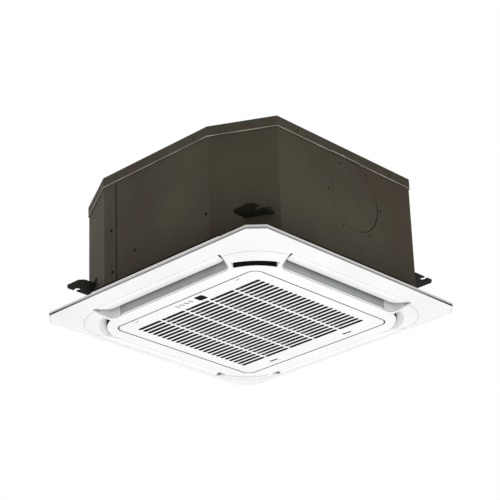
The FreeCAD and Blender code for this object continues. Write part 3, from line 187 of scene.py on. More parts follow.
casing_sheet = mottled("olive coated sheet", (0.047, 0.038, 0.027), (0.058, 0.051, 0.036), patch=0.20,
                       grain=0.0011, relief=0.00006, roughness=0.6, shine=0.04)
# Painted shade: the casing's tone falls off towards the bottom.
painted_shade_by_height(casing_sheet, low=-0.045, high=0.05, darkest=0.72)
bracket_steel = mottled("dark bracket steel", (0.014, 0.012, 0.009), (0.021, 0.018, 0.014), patch=0.02,
                        grain=0.0006, relief=0.00005, roughness=0.5, shine=0.02)
# Painted highlight: the hem's pale tone stands in for the light its roll catches.
hem_highlight = mottled("pale hem, painted highlight", (0.18, 0.17, 0.14), (0.34, 0.32, 0.27), patch=0.05,
                   grain=0.0006, relief=0.00004, roughness=0.5, shine=0.2)
print("casing finishes made")

# %% [markdown]
# The panel, vanes and grille are white moulded plastic with the fine satin grain of a spark-eroded mould.
# Inside the outlets the walls get grey tones, which are painted shade. The foam and net behind the slots
# are nearly black, which is what makes the slots read as dark lines.

# %% Plastics and foams of the panel
satin = dict(patch=0.12, grain=0.0009, relief=0.00004, roughness=0.42)
white_plastic = mottled("white satin plastic", grey(0.80), grey(0.84), **satin)
# Painted light: the vanes' white is brighter than the panel's to offset the shade inside the outlets.
vane_painted_light = mottled("vane plastic, painted light", grey(0.92), grey(0.95), patch=0.12,
                     grain=0.0009, relief=0.00003, roughness=0.42)
# Painted shade: grey and pale grey tones that stand in for the shade on the outlets' white walls.
outlet_painted_shade = mottled("grey outlet plastic, painted shade", (0.26, 0.27, 0.27), (0.30, 0.31, 0.31), patch=0.06,
                      grain=0.0009, relief=0.00004, roughness=0.5, shine=0.3)
end_painted_shade = mottled("pale grey plastic, painted shade", (0.52, 0.515, 0.51), (0.58, 0.575, 0.57), patch=0.05,
                   grain=0.0009, relief=0.00004, roughness=0.5, shine=0.3)
# Grey for the corner covers' joints, and painted shade for the lines below the outlets' bands.
joint_and_shade_grey = mottled("grey joint and painted shade plastic", (0.29, 0.285, 0.28), (0.36, 0.355, 0.35), patch=0.05,
                    grain=0.0008, relief=0.00004, roughness=0.5, shine=0.3)
black_foam = mottled("black open foam", grey(0.004), grey(0.009), patch=0.01,
                     grain=0.0014, relief=0.0003, roughness=0.85, shine=0.03)
dark_plastic = mottled("charcoal plastic", (0.012, 0.012, 0.013), (0.02, 0.02, 0.022), patch=0.04,
                       grain=0.0009, relief=0.00005, roughness=0.6, shine=0.12)
white_foam = mottled("white moulded foam", (0.68, 0.68, 0.66), (0.78, 0.78, 0.76), patch=0.03,
                     grain=0.003, relief=0.0004, roughness=0.8)
dark_lens = mottled("smoked lens", (0.005, 0.004, 0.004), (0.009, 0.007, 0.007), patch=0.01,
                    grain=0.002, relief=0.00001, roughness=0.3, shine=0.004)
pale_lens = mottled("indicator lens", (0.012, 0.011, 0.012), (0.02, 0.019, 0.02), patch=0.004,
                    grain=0.001, relief=0.00001, roughness=0.3, shine=0.004)
rubber = mottled("black rubber", grey(0.012), grey(0.022), patch=0.02,
                 grain=0.0009, relief=0.00008, roughness=0.7, shine=0.2)
print("panel finishes made")

# %% [markdown]
# The panel's rim is tinted greyer on its upright edge than on its face, which is painted shade. The strip
# in its step turns dark brown towards the left and right tips, which is a painted reflection. Each could be
# a piece of its own. The edge already lies on the box of the part, though, where nothing can be laid over
# it, so the finish itself finds the upright faces far from the middle and blends its tone there.

# %% Tones of the panel's rim
RIM_FROM, UPRIGHT_BELOW, TIP_FROM, TIP_TO = 0.30, 0.3, 0.46, 0.60
# The first tone below paints shade on the rim's upright edge; the second paints a reflection at the tips.
RIM_SHADE_TONE, TIP_REFLECTION_TONE = (0.50, 0.495, 0.485), (0.022, 0.016, 0.013)

def tint(finish, share, colour):
    """Blend the tone into another colour, by a share between zero and one."""
    blend = add_node(finish, "ShaderNodeMixRGB", Color2=(*colour, 1))
    join(finish, share, blend.inputs["Fac"])
    join(finish, finish.node_tree.nodes["tone"].outputs["Color"], blend.inputs["Color1"])
    recolour(finish, blend.outputs["Color"])

def upright_rim_shade(finish):
    """Where painted shade goes: one on upright faces far from the middle of the panel, and zero elsewhere."""
    x, y, _ = split(finish, own_place(finish))
    reach = reckon(finish, "MAXIMUM", reckon(finish, "ABSOLUTE", x), reckon(finish, "ABSOLUTE", y))
    facing = add_node(finish, "ShaderNodeNewGeometry").outputs["True Normal"]
    slope = reckon(finish, "ABSOLUTE", split(finish, facing)["Z"])
    far_out = reckon(finish, "GREATER_THAN", reach, RIM_FROM)
    return reckon(finish, "MULTIPLY", far_out, reckon(finish, "LESS_THAN", slope, UPRIGHT_BELOW))

def tip_reflection_share(finish):
    """A share of painted reflection, rising towards the tips, where the sum of x and y is largest in size."""
    x, y, _ = split(finish, own_place(finish))
    share = add_node(finish, "ShaderNodeMapRange", From_Min=TIP_FROM, From_Max=TIP_TO)
    join(finish, reckon(finish, "ABSOLUTE", reckon(finish, "ADD", x, y)), share.inputs["Value"])
    return share.outputs["Result"]

panel_white_rim_shade = mottled("white panel plastic, painted rim shade", grey(0.80), grey(0.84), **satin)
# Painted shade: the rim's upright faces are tinted grey.
tint(panel_white_rim_shade, upright_rim_shade(panel_white_rim_shade), RIM_SHADE_TONE)
rim_grey_tip_reflection = mottled("grey rim strip, painted tip reflection", (0.21, 0.205, 0.20), (0.26, 0.255, 0.25), patch=0.05,
                   grain=0.0008, relief=0.00004, roughness=0.5, shine=0.1)
# Painted reflection: the rim strip darkens to brown towards the tips.
tint(rim_grey_tip_reflection, tip_reflection_share(rim_grey_tip_reflection), TIP_REFLECTION_TONE)
print("rim finishes made")

# %% [markdown]
# Behind the grille sit metal and moulded working parts. They show when the grille hangs open, so they get
# proper finishes too: plated steel, copper, brass, a fan of grey plastic, and a heat exchanger whose fins
# are far too many to model. A fine wave along x plus y draws the fins, because each face of the ring varies
# in only one of them. Two waves, along x and along y, draw the net of the filter.

# %% Metals, boards and the fin pattern
zinc_steel = mottled("zinc plated steel", (0.42, 0.42, 0.40), (0.52, 0.52, 0.50), patch=0.012,
                     grain=0.0005, relief=0.00003, roughness=0.36, metallic=1.0)
copper = mottled("drawn copper", (0.56, 0.27, 0.15), (0.66, 0.35, 0.21), patch=0.015,
                 grain=0.0005, relief=0.00002, roughness=0.3, metallic=1.0)
union_brass = mottled("turned brass", (0.58, 0.44, 0.19), (0.70, 0.56, 0.27), patch=0.01,
                      grain=0.0004, relief=0.00002, roughness=0.28, metallic=1.0)
fan_plastic = mottled("blue grey fan plastic", (0.50, 0.52, 0.55), (0.58, 0.60, 0.63), patch=0.08,
                      grain=0.001, relief=0.00005, roughness=0.5)
motor_can = mottled("painted motor can", (0.08, 0.08, 0.09), (0.12, 0.12, 0.13), patch=0.03,
                    grain=0.0008, relief=0.00006, roughness=0.5)
circuit_board = mottled("green circuit board", (0.02, 0.14, 0.05), (0.04, 0.20, 0.08), patch=0.006,
                        grain=0.0012, relief=0.00008, roughness=0.35)
fin_aluminium = mottled("finned aluminium", (0.58, 0.59, 0.60), (0.70, 0.71, 0.72), patch=0.05,
                        grain=0.0006, relief=0.00003, roughness=0.4, metallic=1.0)
filter_net = mottled("black filter net", (0.010, 0.010, 0.012), (0.020, 0.020, 0.023), patch=0.03,
                     grain=0.0008, relief=0.0001, roughness=0.8)

def ripple(finish, pitch, depth, stretch):
    """Straight ridges on top of the relief so far: a wave of the given pitch along the direction stretch."""
    nodes_of = finish.node_tree.nodes
    axis = nodes_of.new("ShaderNodeVectorMath")
    axis.operation = "DOT_PRODUCT"
    axis.inputs[1].default_value = stretch
    join(finish, own_place(finish), axis.inputs[0])
    scale = add_node(finish, "ShaderNodeMapRange", From_Max=pitch / 2)
    join(finish, reckon(finish, "PINGPONG", axis.outputs["Value"], pitch / 2), scale.inputs["Value"])
    ridge = add_node(finish, "ShaderNodeBump", Strength=0.8, Distance=depth)
    join(finish, scale.outputs["Result"], ridge.inputs["Height"])
    join(finish, nodes_of["bump"].outputs["Normal"], ridge.inputs["Normal"])
    join(finish, ridge.outputs["Normal"], nodes_of["Principled BSDF"].inputs["Normal"])
    nodes_of["bump"].name = "lower bump"
    ridge.name = "bump"

ripple(fin_aluminium, pitch=0.0018, depth=0.0008, stretch=(1, 1, 0))
for stretch in ((1, 0, 0), (0, 1, 0)):
    ripple(filter_net, pitch=0.0016, depth=0.0004, stretch=stretch)
print("working-part finishes made")

# %% [markdown]
# Each CAD node names the material slot it belongs to in the imported record, so one table from slot to finish
# dresses them all. The finish goes into the object's own slot; the CAD mesh itself stays as it is. Three
# kinds of node differ. The vanes get a brighter white than the panel, painted light that offsets the shade
# of the outlets. The panel's rim gets its painted shade and painted reflection, and the lid's screws are
# painted over with the casing.

# %% Give every CAD node its finish
finishes = dict(
    casing_sheet=casing_sheet, bracket_steel=bracket_steel, zinc_steel=zinc_steel, copper=copper,
    white_plastic=white_plastic, dark_plastic=dark_plastic, fan_plastic=fan_plastic, dark_lens=dark_lens,
    pale_lens=pale_lens, circuit_board=circuit_board, filter_net=filter_net, black_foam=black_foam,
    white_foam=white_foam, fin_aluminium=fin_aluminium, union_brass=union_brass, motor_can=motor_can,
    rubber=rubber)
own_finishes = dict(vane_front=vane_painted_light, vane_right=vane_painted_light, vane_back=vane_painted_light, vane_left=vane_painted_light,
                    panel_frame=panel_white_rim_shade, cover_screws=casing_sheet)
for part in frame["record"]["subparts"]:
    for held in nodes[part["node"]].material_slots:
        held.material = own_finishes.get(part["node"], finishes[part["material_slot"]])

# %% [markdown]
# ## From points to pieces
# The added details are strips, linings and rings. They could be drawn by hand in edit mode; here each one
# is a grid of points that a formula gives, so that its size can be read from the script. The first helper
# turns grids into a mesh, and the second makes a piece of it and gives it to the body that it moves with.

# %% Mesh and piece from grids
MERGE_WITHIN, SHARP_FROM = 1e-6, math.radians(35)

def woven(name, grids, loop_rows, loop_columns):
    """A mesh from grids of points, stacked along the first axis. Each cell of a grid becomes a four-sided
    face; a looped direction also joins its last line to its first. Points that fall together are merged,
    and faces are turned outwards."""
    count, rows, columns = grids.shape[:3]
    index = np.arange(rows * columns).reshape(rows, columns)
    index = np.vstack([index, index[:1]]) if loop_rows else index
    index = np.hstack([index, index[:, :1]]) if loop_columns else index
    cells = np.stack([index[:-1, :-1], index[1:, :-1], index[1:, 1:], index[:-1, 1:]], -1).reshape(-1, 4)
    cells = (cells[None] + (np.arange(count) * rows * columns)[:, None, None]).reshape(-1, 4)
    mesh = bpy.data.meshes.new(name)
    mesh.from_pydata(grids.reshape(-1, 3).tolist(), [], cells.tolist())
    work = bmesh.new()
    work.from_mesh(mesh)
    bmesh.ops.remove_doubles(work, verts=work.verts, dist=MERGE_WITHIN)
    bmesh.ops.recalc_face_normals(work, faces=work.faces)
    work.to_mesh(mesh)
    work.free()
    mesh.polygons.foreach_set("use_smooth", np.ones(len(mesh.polygons), bool))
    mesh.set_sharp_from_angle(angle=SHARP_FROM)
    return mesh

def place(name, grids, body, finish, ring=False):
    """A piece from grids of points, riding on a body, with its finish. The columns of its grids always close
    round; ring says that the rows close too."""
    mesh = woven(name, grids, ring, True)
    mesh.materials.append(finish)
    piece = bpy.data.objects.new(name, mesh)
    bpy.context.collection.objects.link(piece)
    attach(piece, body)
    print(name, len(mesh.polygons), "faces")

print("piece helpers ready")

# %% [markdown]
# Most pieces are a small profile carried along a path in plan. A curve with a bevel would do this too, but
# its corners can grow thin. Here each point of the path steps along the mitre of its corner, so that the
# strip keeps its width all round.

# %% Profiles carried along a path
def swept(path, profile, closed, rise=0.0):
    """Grid of a profile of (outward, height) points carried along a plan path. Outward is to the right of
    the path's direction; at a corner it is the sum of both edge normals over one plus their dot product.
    rise adds height for each path point and profile point. An open path is closed at both ends by the
    profile's middle."""
    edges = np.roll(path, -1, 0) - path
    if not closed:
        edges[-1] = edges[-2]
    normal = np.stack([edges[:, 1], -edges[:, 0]], 1) / np.linalg.norm(edges, axis=1)[:, None]
    before = np.roll(normal, 1, 0)
    if not closed:
        before[0] = normal[0]
    mitre = (normal + before) / (1 + (normal * before).sum(1))[:, None]
    plan = path[:, None] + mitre[:, None] * profile[None, :, :1]
    height = np.broadcast_to(profile[None, :, 1], plan.shape[:2]) + rise
    grid = np.concatenate([plan, height[..., None]], -1)
    if not closed:
        ends = np.broadcast_to(grid.mean(1, keepdims=True), grid.shape)
        grid = np.concatenate([ends[:1], grid, ends[-1:]])
    return grid

def oblong(out_low, out_high, low, high):
    """A rectangular profile, as (outward, height) points."""
    return np.array([(out_low, low), (out_high, low), (out_high, high), (out_low, high)])

def standing(path, out_low, out_high, low, high):
    """Grid of a thin wall that stands on an open plan path. low and high are its lower and upper heights,
    either one number or one for each point of the path."""
    low, high = np.broadcast_to(low, len(path)), np.broadcast_to(high, len(path))
    return swept(path, oblong(out_low, out_high, 0.0, 0.0), False, np.stack([low, low, high, high], 1))

print("sweep helpers ready")

# %% [markdown]
# Most paths and profiles are made of arcs and straight lines. They could be drawn as curves and converted;
# worked out as points, they go straight into a sweep. A rectangle comes with its corners rounded or cut.

# %% Arcs and rectangles in plan
EASE_STEPS = 3

def arc(centre, radius, first, last, steps):
    """Plan points on a circle from one angle to another, in degrees."""
    turn = np.radians(np.linspace(first, last, steps))
    return np.stack([centre[0] + radius * np.cos(turn), centre[1] + radius * np.sin(turn)], 1)

def rounded_square(half_x, half_y, radius, steps):
    """Plan points round a rectangle with rounded corners, counter-clockwise."""
    x, y = half_x - radius, half_y - radius
    corners = ((x, -y, -90), (x, y, 0), (-x, y, 90), (-x, -y, 180))
    return np.concatenate([arc((u, v), radius, turn, turn + 90, steps) for u, v, turn in corners])

def cut_square(half_x, half_y, flat_x, flat_y):
    """Plan points round a rectangle with cut corners, counter-clockwise. flat_x and flat_y are the half
    lengths of the sides that run along x and along y. The left half is the right half turned half round."""
    right_half = np.array([(flat_x, -half_y), (half_x, -flat_y), (half_x, flat_y), (flat_x, half_y)])
    return np.concatenate([right_half, -right_half])

def block(out_low, out_high, low, high, ease):
    """A rectangular profile with eased corners, as (outward, height) points."""
    middle = (out_low + out_high) / 2, (low + high) / 2
    return rounded_square((out_high - out_low) / 2, (high - low) / 2, ease, EASE_STEPS) + middle

print("plan helpers ready")

# %% [markdown]
# ## Casing details
# The lid's skirt ends in a rolled hem, drawn as one thin pale line whose pale tone is a painted highlight.
# It could be a curve with a bevel; a small round profile carried round the octagon gives the same with exact
# mitres at the folds. On the wall with the knock-out the hem is lifted over a short stretch and pinched
# once, as the photograph shows. Sizes that the CAD model already has are read from its nodes.

# %% Rolled hem of the lid
def span(name):
    """Lowest and highest corner of a CAD node, rounded to a hundredth of a millimetre."""
    points = np.empty(3 * len(nodes[name].data.vertices))
    nodes[name].data.vertices.foreach_get("co", points)
    points = points.reshape(-1, 3)
    return points.min(0).round(5), points.max(0).round(5)

HALF_X, HALF_Y, _ = span("casing_front")[1]
FLAT_X, FLAT_Y = 0.159, 0.213
lid_low, lid_high = span("top_cover")
SKIRT_LOW, SKIRT_OUT = lid_low[2], lid_high[0] - HALF_X
HEM_RADIUS, HEM_LIFT, HEM_PINCH = 0.0010, 0.0018, 0.0016
HEM_FIRST, HEM_LAST, HEM_STEPS = 0, 330, 12
# Knots of the hem on that wall: place along it, lifted or not, pinched or not
HEM_KNOTS = ((-0.049, 0, 0), (-0.047, 1, 0), (-0.016, 1, 0), (-0.011, 1, 1), (-0.005, 1, 0), (0.044, 1, 0),
             (0.046, 0, 0))

octagon = cut_square(HALF_X, HALF_Y, FLAT_X, FLAT_Y)
knot_y, lifted, pinched = np.array(HEM_KNOTS).T
knots = np.stack([np.full(len(knot_y), HALF_X), knot_y], 1)
hem_path = np.concatenate([octagon[:2], knots, octagon[2:]])
hem_profile = arc((SKIRT_OUT, SKIRT_LOW + HEM_RADIUS), HEM_RADIUS, HEM_FIRST, HEM_LAST, HEM_STEPS)
upper = hem_profile[:, 1] > SKIRT_LOW + HEM_RADIUS
hem_rise = np.zeros((len(hem_path), len(hem_profile)))
hem_rise[2:2 + len(knots)] = HEM_LIFT * lifted[:, None] + HEM_PINCH * pinched[:, None] * upper
# The hem carries the painted highlight.
place("skirt_hem", swept(hem_path, hem_profile, True, hem_rise)[None],
      "casing", hem_highlight, ring=True)

# %% [markdown]
# The two casing sheets meet in a lapped seam on the front and back walls. A boolean could cut the lap; a
# flat bead that runs up the wall shows the same dark line and leaves the CAD sheet alone.

# %% Lapped seams
SEAM_X, SEAM_WIDTH, SEAM_OUT, SEAM_STEPS = 0.1205, 0.0034, 0.0007, 16
SEAM_LEVELS, SEAM_SHARES = (-0.037, -0.036, 0.19, 0.1955), (0.0, 1.0, 1.0, 0.0)

def full_turn(steps):
    """Angles all round a circle, in equal steps."""
    return np.linspace(0, 2 * np.pi, steps, endpoint=False)

def seam_lip(sign):
    """A bead on a wall: an ellipse in plan, half sunk in the wall, carried up it and drawn in to its middle
    at both ends."""
    turn, share = full_turn(SEAM_STEPS), np.array(SEAM_SHARES)[:, None]
    x = sign * SEAM_X + np.cos(turn) * SEAM_WIDTH / 2 * share
    y = sign * HALF_Y + np.sin(turn) * SEAM_OUT * share
    return np.stack([x, y, np.broadcast_to(np.array(SEAM_LEVELS)[:, None], x.shape)], -1)

place("wall_seams", np.stack([seam_lip(-1), seam_lip(1)]), "casing", bracket_steel)

# %% [markdown]
# Small blind holes are punched beside the seam, and six more stand round the knock-out. Each could be a
# boolean cut. A shallow black dish turned about the wall's normal paints the shade inside the hole as the
# same dark spot, so one function of turn and radius makes them all.

# %% Punched holes
DISH_SHARES, DISH_LIFTS = (0.0, 1.0, 1.0, 0.92, 0.78, 0.62, 0.0), (-0.6, -0.6, 0.0, 0.8, 1.0, 0.35, 0.3)
DISH_STEPS, HOLE_RADIUS, HOLE_PROUD = 14, 0.0036, 0.0005
HOLES = ((-0.136, 0.086), (-0.133, -0.011), (-0.064, 0.0165), (0.149, 0.024))
PILOTS, PILOT_CIRCLE, PILOT_RADIUS, PILOT_PROUD = 6, 0.083, 0.0024, 0.0003
KNOCK_OUT_Y, KNOCK_OUT_Z = 0.024, 0.1085

def dishes(along, height, wall, out, across, radius, proud):
    """Shallow dishes on a wall. Along the radius the surface leaves the wall, rises to a rounded rim and
    falls to a flat floor; it is turned about the wall's normal at each place along the wall and up it."""
    share = np.array(DISH_SHARES)[:, None, None]
    lift = proud * np.array(DISH_LIFTS)[:, None, None]
    turn, up_wall = full_turn(DISH_STEPS), np.array([0.0, 0.0, 1.0])
    centre = np.outer(along, across) + np.outer(height, up_wall) + wall * np.array(out)
    circle = np.outer(np.cos(turn), across) + np.outer(np.sin(turn), up_wall)
    return centre[:, None, None] + radius * share * circle + lift * np.array(out, float)

hole_x, hole_z = np.array(HOLES).T
holes = [dishes(-side * hole_x, hole_z, HALF_Y, (0, side, 0), (1, 0, 0), HOLE_RADIUS, HOLE_PROUD)
         for side in (-1, 1)]
# Painted shade: black dishes stand in for the shade inside the holes.
place("wall_holes", np.concatenate(holes), "casing", black_foam)
pilot_y = KNOCK_OUT_Y + PILOT_CIRCLE * np.cos(full_turn(PILOTS))
pilot_z = KNOCK_OUT_Z + PILOT_CIRCLE * np.sin(full_turn(PILOTS))
pilots = dishes(pilot_y, pilot_z, HALF_X, (1, 0, 0), (0, 1, 0), PILOT_RADIUS, PILOT_PROUD)
# Painted shade: the same black dishes in the pilot holes.
place("pilot_hole_shades", pilots, "casing", black_foam)

# %% [markdown]
# The knock-out is a groove round its circle. Along its lower right, a dark crescent is drawn as painted
# shadow of the groove. It is a flat strip on the wall that follows the circle and thins out at both ends.

# %% Painted shadow along the knock-out
SHADOW_RADIUS, SHADOW_WIDTH, SHADOW_PROUD = 0.0731, 0.0018, 0.0002
SHADOW_FIRST, SHADOW_LAST, SHADOW_STEPS = -78, 22, 30
shadow_turn = np.radians(np.linspace(SHADOW_FIRST, SHADOW_LAST, SHADOW_STEPS))[:, None]
swell = np.sin(np.linspace(0, np.pi, SHADOW_STEPS))
shadow_width = SHADOW_WIDTH * np.sqrt(np.maximum(swell, 0))[:, None]
shadow_side, shadow_out = oblong(-0.5, 0.5, -1.0, 1.0).T
shadow_reach = SHADOW_RADIUS + shadow_width * shadow_side
shadow_grid = np.stack([
    np.broadcast_to(HALF_X + SHADOW_PROUD * shadow_out, shadow_reach.shape),
    KNOCK_OUT_Y + shadow_reach * np.cos(shadow_turn),
    KNOCK_OUT_Z + shadow_reach * np.sin(shadow_turn)], -1)
# Painted shadow: a black crescent along the knock-out's groove.
place("knock_out_painted_shadow", shadow_grid[None], "casing", black_foam)

# %% [markdown]
# ## Panel details
# Round the rim the panel has a stepped edge: the upper half stands out and the lower half is set back, with
# a grey strip in the step. The strip is a slim block carried round the cut square of the rim.

# %% Grey strip in the stepped rim
panel_low, panel_high = span("panel_frame")
RIM_HALF, ISLAND_Z = panel_high[0], panel_low[2]
RIM_CUT, RIM_STEP = 0.0295, 0.001
STRIP_SUNK, STRIP_OUT, STRIP_LOW, STRIP_HIGH, STRIP_EASE = -0.0002, 0.0007, -0.0718, -0.0681, 0.0002
wide = RIM_HALF - RIM_STEP
short = wide - RIM_CUT
strip = swept(cut_square(wide, wide, short, short),
              block(STRIP_SUNK, STRIP_OUT, STRIP_LOW, STRIP_HIGH, STRIP_EASE), True)
# The strip darkens to brown at the tips, which is a painted reflection.
place("rim_strip", strip[None], "casing", rim_grey_tip_reflection, ring=True)

# %% [markdown]
# Each outlet gets a grey lining on its inner wall. This is painted shade, and it makes the grey band that
# shows past the white vane. At one end the lining stops at a fine joint, and a paler end piece, also
# painted shade, goes on round the corner. Each is a thin wall that stands on a path. The lower edge follows
# the panel's slope, which rises evenly from the flat middle to the rim. It leaves a narrow white lip, with a
# fine grey line below the band that is painted shade of the lip's rounded edge.

# %% Plan of an outlet
ISLAND_HALF = 0.247
OUTLET_FAR, OUTLET_NEAR, OUTLET_WIDE, OUTLET_NARROW, OUTLET_ROUND = 0.291, 0.249, 0.190, 0.175, 0.020
END_IN_X, END_IN_Y, OUTLET_STEPS = 0.0005, 0.0015, 10

def slope_z(reach):
    """Height of the panel's sloping skin at a distance from the middle: a straight rise from the flat island
    in the middle to the rim."""
    return ISLAND_Z + (RIM_Z - ISLAND_Z) * (reach - ISLAND_HALF) / (wide - ISLAND_HALF)

def paired_sides(grid):
    """The front outlet's grid, its mirror image across the diagonal for the right outlet, and both turned by
    half a turn for the back and the left."""
    right_side = grid[..., [1, 0, 2]] * (-1, -1, 1)
    return np.stack([grid, right_side, grid * (-1, -1, 1), right_side * (-1, -1, 1)])

taper, depth = OUTLET_WIDE - OUTLET_NARROW, OUTLET_FAR - OUTLET_NEAR
corner_x = OUTLET_NARROW - OUTLET_ROUND * (math.hypot(taper, depth) - taper) / depth
lean = math.degrees(math.atan2(taper, depth))
right_arc = arc((corner_x, -OUTLET_NEAR - OUTLET_ROUND), OUTLET_ROUND, lean, 90, OUTLET_STEPS)
right_half = np.concatenate([[(OUTLET_WIDE - END_IN_X, -OUTLET_FAR + END_IN_Y)], right_arc])
left_half = right_half * (-1, 1)
print("outlet corner at", round(corner_x, 4), "m, lean", round(lean, 1), "degrees")

# %% Linings of the outlets
LINING_TOP, LINING_BACK, LINING_FACE, JOINT_FACE = -0.0435, 0.0001, 0.0010, 0.0012
BAND_LIFT, END_LIFT, JOINT_X, JOINT_WIDTH = 0.0024, 0.0006, 0.146, 0.0008
LIP_FAR, LIP_NEAR, LIP_PROUD, LIP_DEEP = -0.0018, -0.0002, -0.00004, 0.0003
joint = np.array([[-JOINT_X, -OUTLET_NEAR]])
joint_end = joint - (JOINT_WIDTH, 0)
# Painted shade: the bands and end pieces are grey linings standing in for the shade inside the outlets.
for name, path, face, lift, finish in (
        ("outlet_shade_bands", np.concatenate([joint, right_half[::-1]]), LINING_FACE, BAND_LIFT, outlet_painted_shade),
        ("outlet_end_shades", np.concatenate([left_half, joint_end]), LINING_FACE, END_LIFT, end_painted_shade),
        ("outlet_joints", np.concatenate([joint_end, joint]), JOINT_FACE, END_LIFT, dark_plastic)):
    lining = standing(path, LINING_BACK, face, slope_z(-path[:, 1]) + lift, LINING_TOP)
    place(name, paired_sides(lining), "casing", finish)
# Painted shade: a grey line below each band stands in for the shade of the lip's rounded edge.
lip_path = np.concatenate([left_half, right_half[::-1]])
lip = swept(lip_path, oblong(LIP_FAR, LIP_NEAR, LIP_PROUD, LIP_DEEP), False)
lip[..., 2] += slope_z(-lip[..., 1])
place("outlet_lips", paired_sides(lip), "casing", joint_and_shade_grey)

# %% [markdown]
# A vane is not a flat board: its underside bulges, thin at the outer edge that lies flush with the panel and
# thick at the inner edge that meets the air. The CAD blade is flat, so a skin of that shape is laid under
# it and turns with it. Rows run along the vane and columns go round the section; the plan narrows to the
# vane's rounded ends.

# %% Plan of a vane
VANE_CHORD, VANE_WIDE, VANE_NARROW, VANE_ROUND = 0.034, 0.183, 0.172, 0.022
side_lean = math.atan2(VANE_WIDE - VANE_NARROW, VANE_CHORD)
straight = (VANE_CHORD - VANE_ROUND) * math.sin(side_lean)
round_x = VANE_WIDE - (straight + VANE_ROUND) / math.cos(side_lean)
round_end = round_x + VANE_ROUND * math.cos(side_lean)

def vane_chord(x):
    """Length of the vane at a place along it: full in the middle, a circle at the rounded inner corners and
    a straight line along the slanted ends."""
    reach = np.abs(x)
    past_middle = np.maximum(reach - round_x, 0)
    circle = VANE_CHORD - VANE_ROUND + np.sqrt(np.maximum(VANE_ROUND ** 2 - past_middle ** 2, 0))
    return np.where(reach < round_end, circle, np.maximum(VANE_WIDE - reach, 0) / math.tan(side_lean))

print("vane rounds from", round(round_x, 4), "to", round(round_end, 4), "m")

# %% Bulged undersides of the vanes
VANE_EDGE_Y, VANE_EDGE_Z, VANE_TILT = -0.290, span("vane_front")[0][2], math.radians(13)
VANE_BULGE, BULGE_EARLY, EDGE_ROUND, IN_BLADE = 0.0033, 0.2, (0.96, 0.72), -0.12
VANE_END_IN, CHORD_IN, MIDDLE_ROWS, END_ROWS, SECTION_STEPS = 0.0004, 0.0002, 9, 15, 9
end_rows = np.linspace(round_x, VANE_WIDE - VANE_END_IN, END_ROWS)[1:]
half_rows = np.concatenate([np.linspace(0, round_x, MIDDLE_ROWS), end_rows])
vane_rows = np.concatenate([-half_rows[:0:-1], half_rows])[:, None]
under = np.linspace(0, 1, SECTION_STEPS)
chord_share = np.concatenate([under, [1.0], under[::-1]])
belly = under[:-1] * (1 + BULGE_EARLY - BULGE_EARLY * under[:-1])
thickness = np.concatenate([belly, EDGE_ROUND, np.full(SECTION_STEPS, IN_BLADE)])
chord = chord_share * (vane_chord(vane_rows) - CHORD_IN)
drop = VANE_BULGE * thickness * np.where(thickness > 0, chord.max(1, keepdims=True) / VANE_CHORD, 1.0)
skin = np.stack([
    np.broadcast_to(vane_rows, chord.shape),
    VANE_EDGE_Y + chord * math.cos(VANE_TILT) + drop * math.sin(VANE_TILT),
    VANE_EDGE_Z + chord * math.sin(VANE_TILT) - drop * math.cos(VANE_TILT)], -1)
skin_ends = np.broadcast_to(skin.mean(1, keepdims=True), skin.shape)
skin = np.concatenate([skin_ends[:1], skin, skin_ends[-1:]])
for body, one_skin in zip(("front_vane", "right_vane", "back_vane", "left_vane"), paired_sides(skin)):
    # The skins carry the brighter white, which is painted light.
    place(body + "_skin", one_skin[None], body, vane_painted_light)

# %% [markdown]
# A vane turns on pins at its ends, and a small block fills the room between the vane's end and the
# outlet's. Seen through the gap it is the notch at the outlet's outer corner. The block is a short wall
# along the end of the outlet. Its colour is painted shade of that notch. The photograph shows it dark at the
# two ends beside the display's corner, so it is dark there and grey at all the others.

# %% Pivot blocks at the ends of the vanes
PIVOT_HALF, PIVOT_LIFT, PIVOT_TOP = 0.0022, 0.0012, -0.060
pivot_path = np.array([(0.1870, -0.2896), (0.1862, -0.2840), (0.1852, -0.2770)])
pivot_low = slope_z(-pivot_path[:, 1]) + PIVOT_LIFT
pivot_wall = standing(pivot_path, -PIVOT_HALF, PIVOT_HALF, pivot_low, PIVOT_TOP)
one_end, other_end = paired_sides(pivot_wall), paired_sides(pivot_wall * (-1, 1, 1))
# Painted shade: the blocks are dark or grey to stand in for the shade in the notches.
place("pivot_blocks_deep_shade", one_end[:2], "casing", black_foam)
place("pivot_blocks_shade", np.concatenate([one_end[2:], other_end]), "casing", outlet_painted_shade)

# %% [markdown]
# Between each corner cover and the flat middle lies a curved scoop. Its white roof starts level with the
# outer edge and climbs inwards to a slit under the edge of the middle, so it looks black from the corner's
# own side and white from the others. The roof is a bent strip carried round an arc; the slit and the two
# cheeks are thin walls. The slit's wall is black, which is painted shade of the opening.

# %% Scoops in the corners
CORNER_CENTRE, CORNER_RADIUS, CORNER_SLOPE = (0.147, 0.147), 0.100, 0.2
SCOOP_INNER, SCOOP_OUTER, SCOOP_FIRST, SCOOP_LAST, SCOOP_STEPS = 0.105, 0.122, 20, 70, 24
ROOF_LOW, ROOF_RISE, ROOF_BEND, ROOF_THICK, ROOF_STEPS = -0.0922, 0.0092, 0.8, 0.0012, 7
WALL_BACK, WALL_FACE, EDGE_LIFT, ROOF_LAP, CHEEK_STEPS = 0.0001, 0.0008, 0.0004, 0.0006, 6

def four_sides(grid):
    """The same grid turned about the vertical axis by none, one, two and three quarter turns."""
    turn = np.radians(90 * np.arange(4))[:, None, None]
    x = grid[None, ..., 0] * np.cos(turn) - grid[None, ..., 1] * np.sin(turn)
    y = grid[None, ..., 0] * np.sin(turn) + grid[None, ..., 1] * np.cos(turn)
    return np.stack([x, y, np.broadcast_to(grid[None, ..., 2], x.shape)], -1)

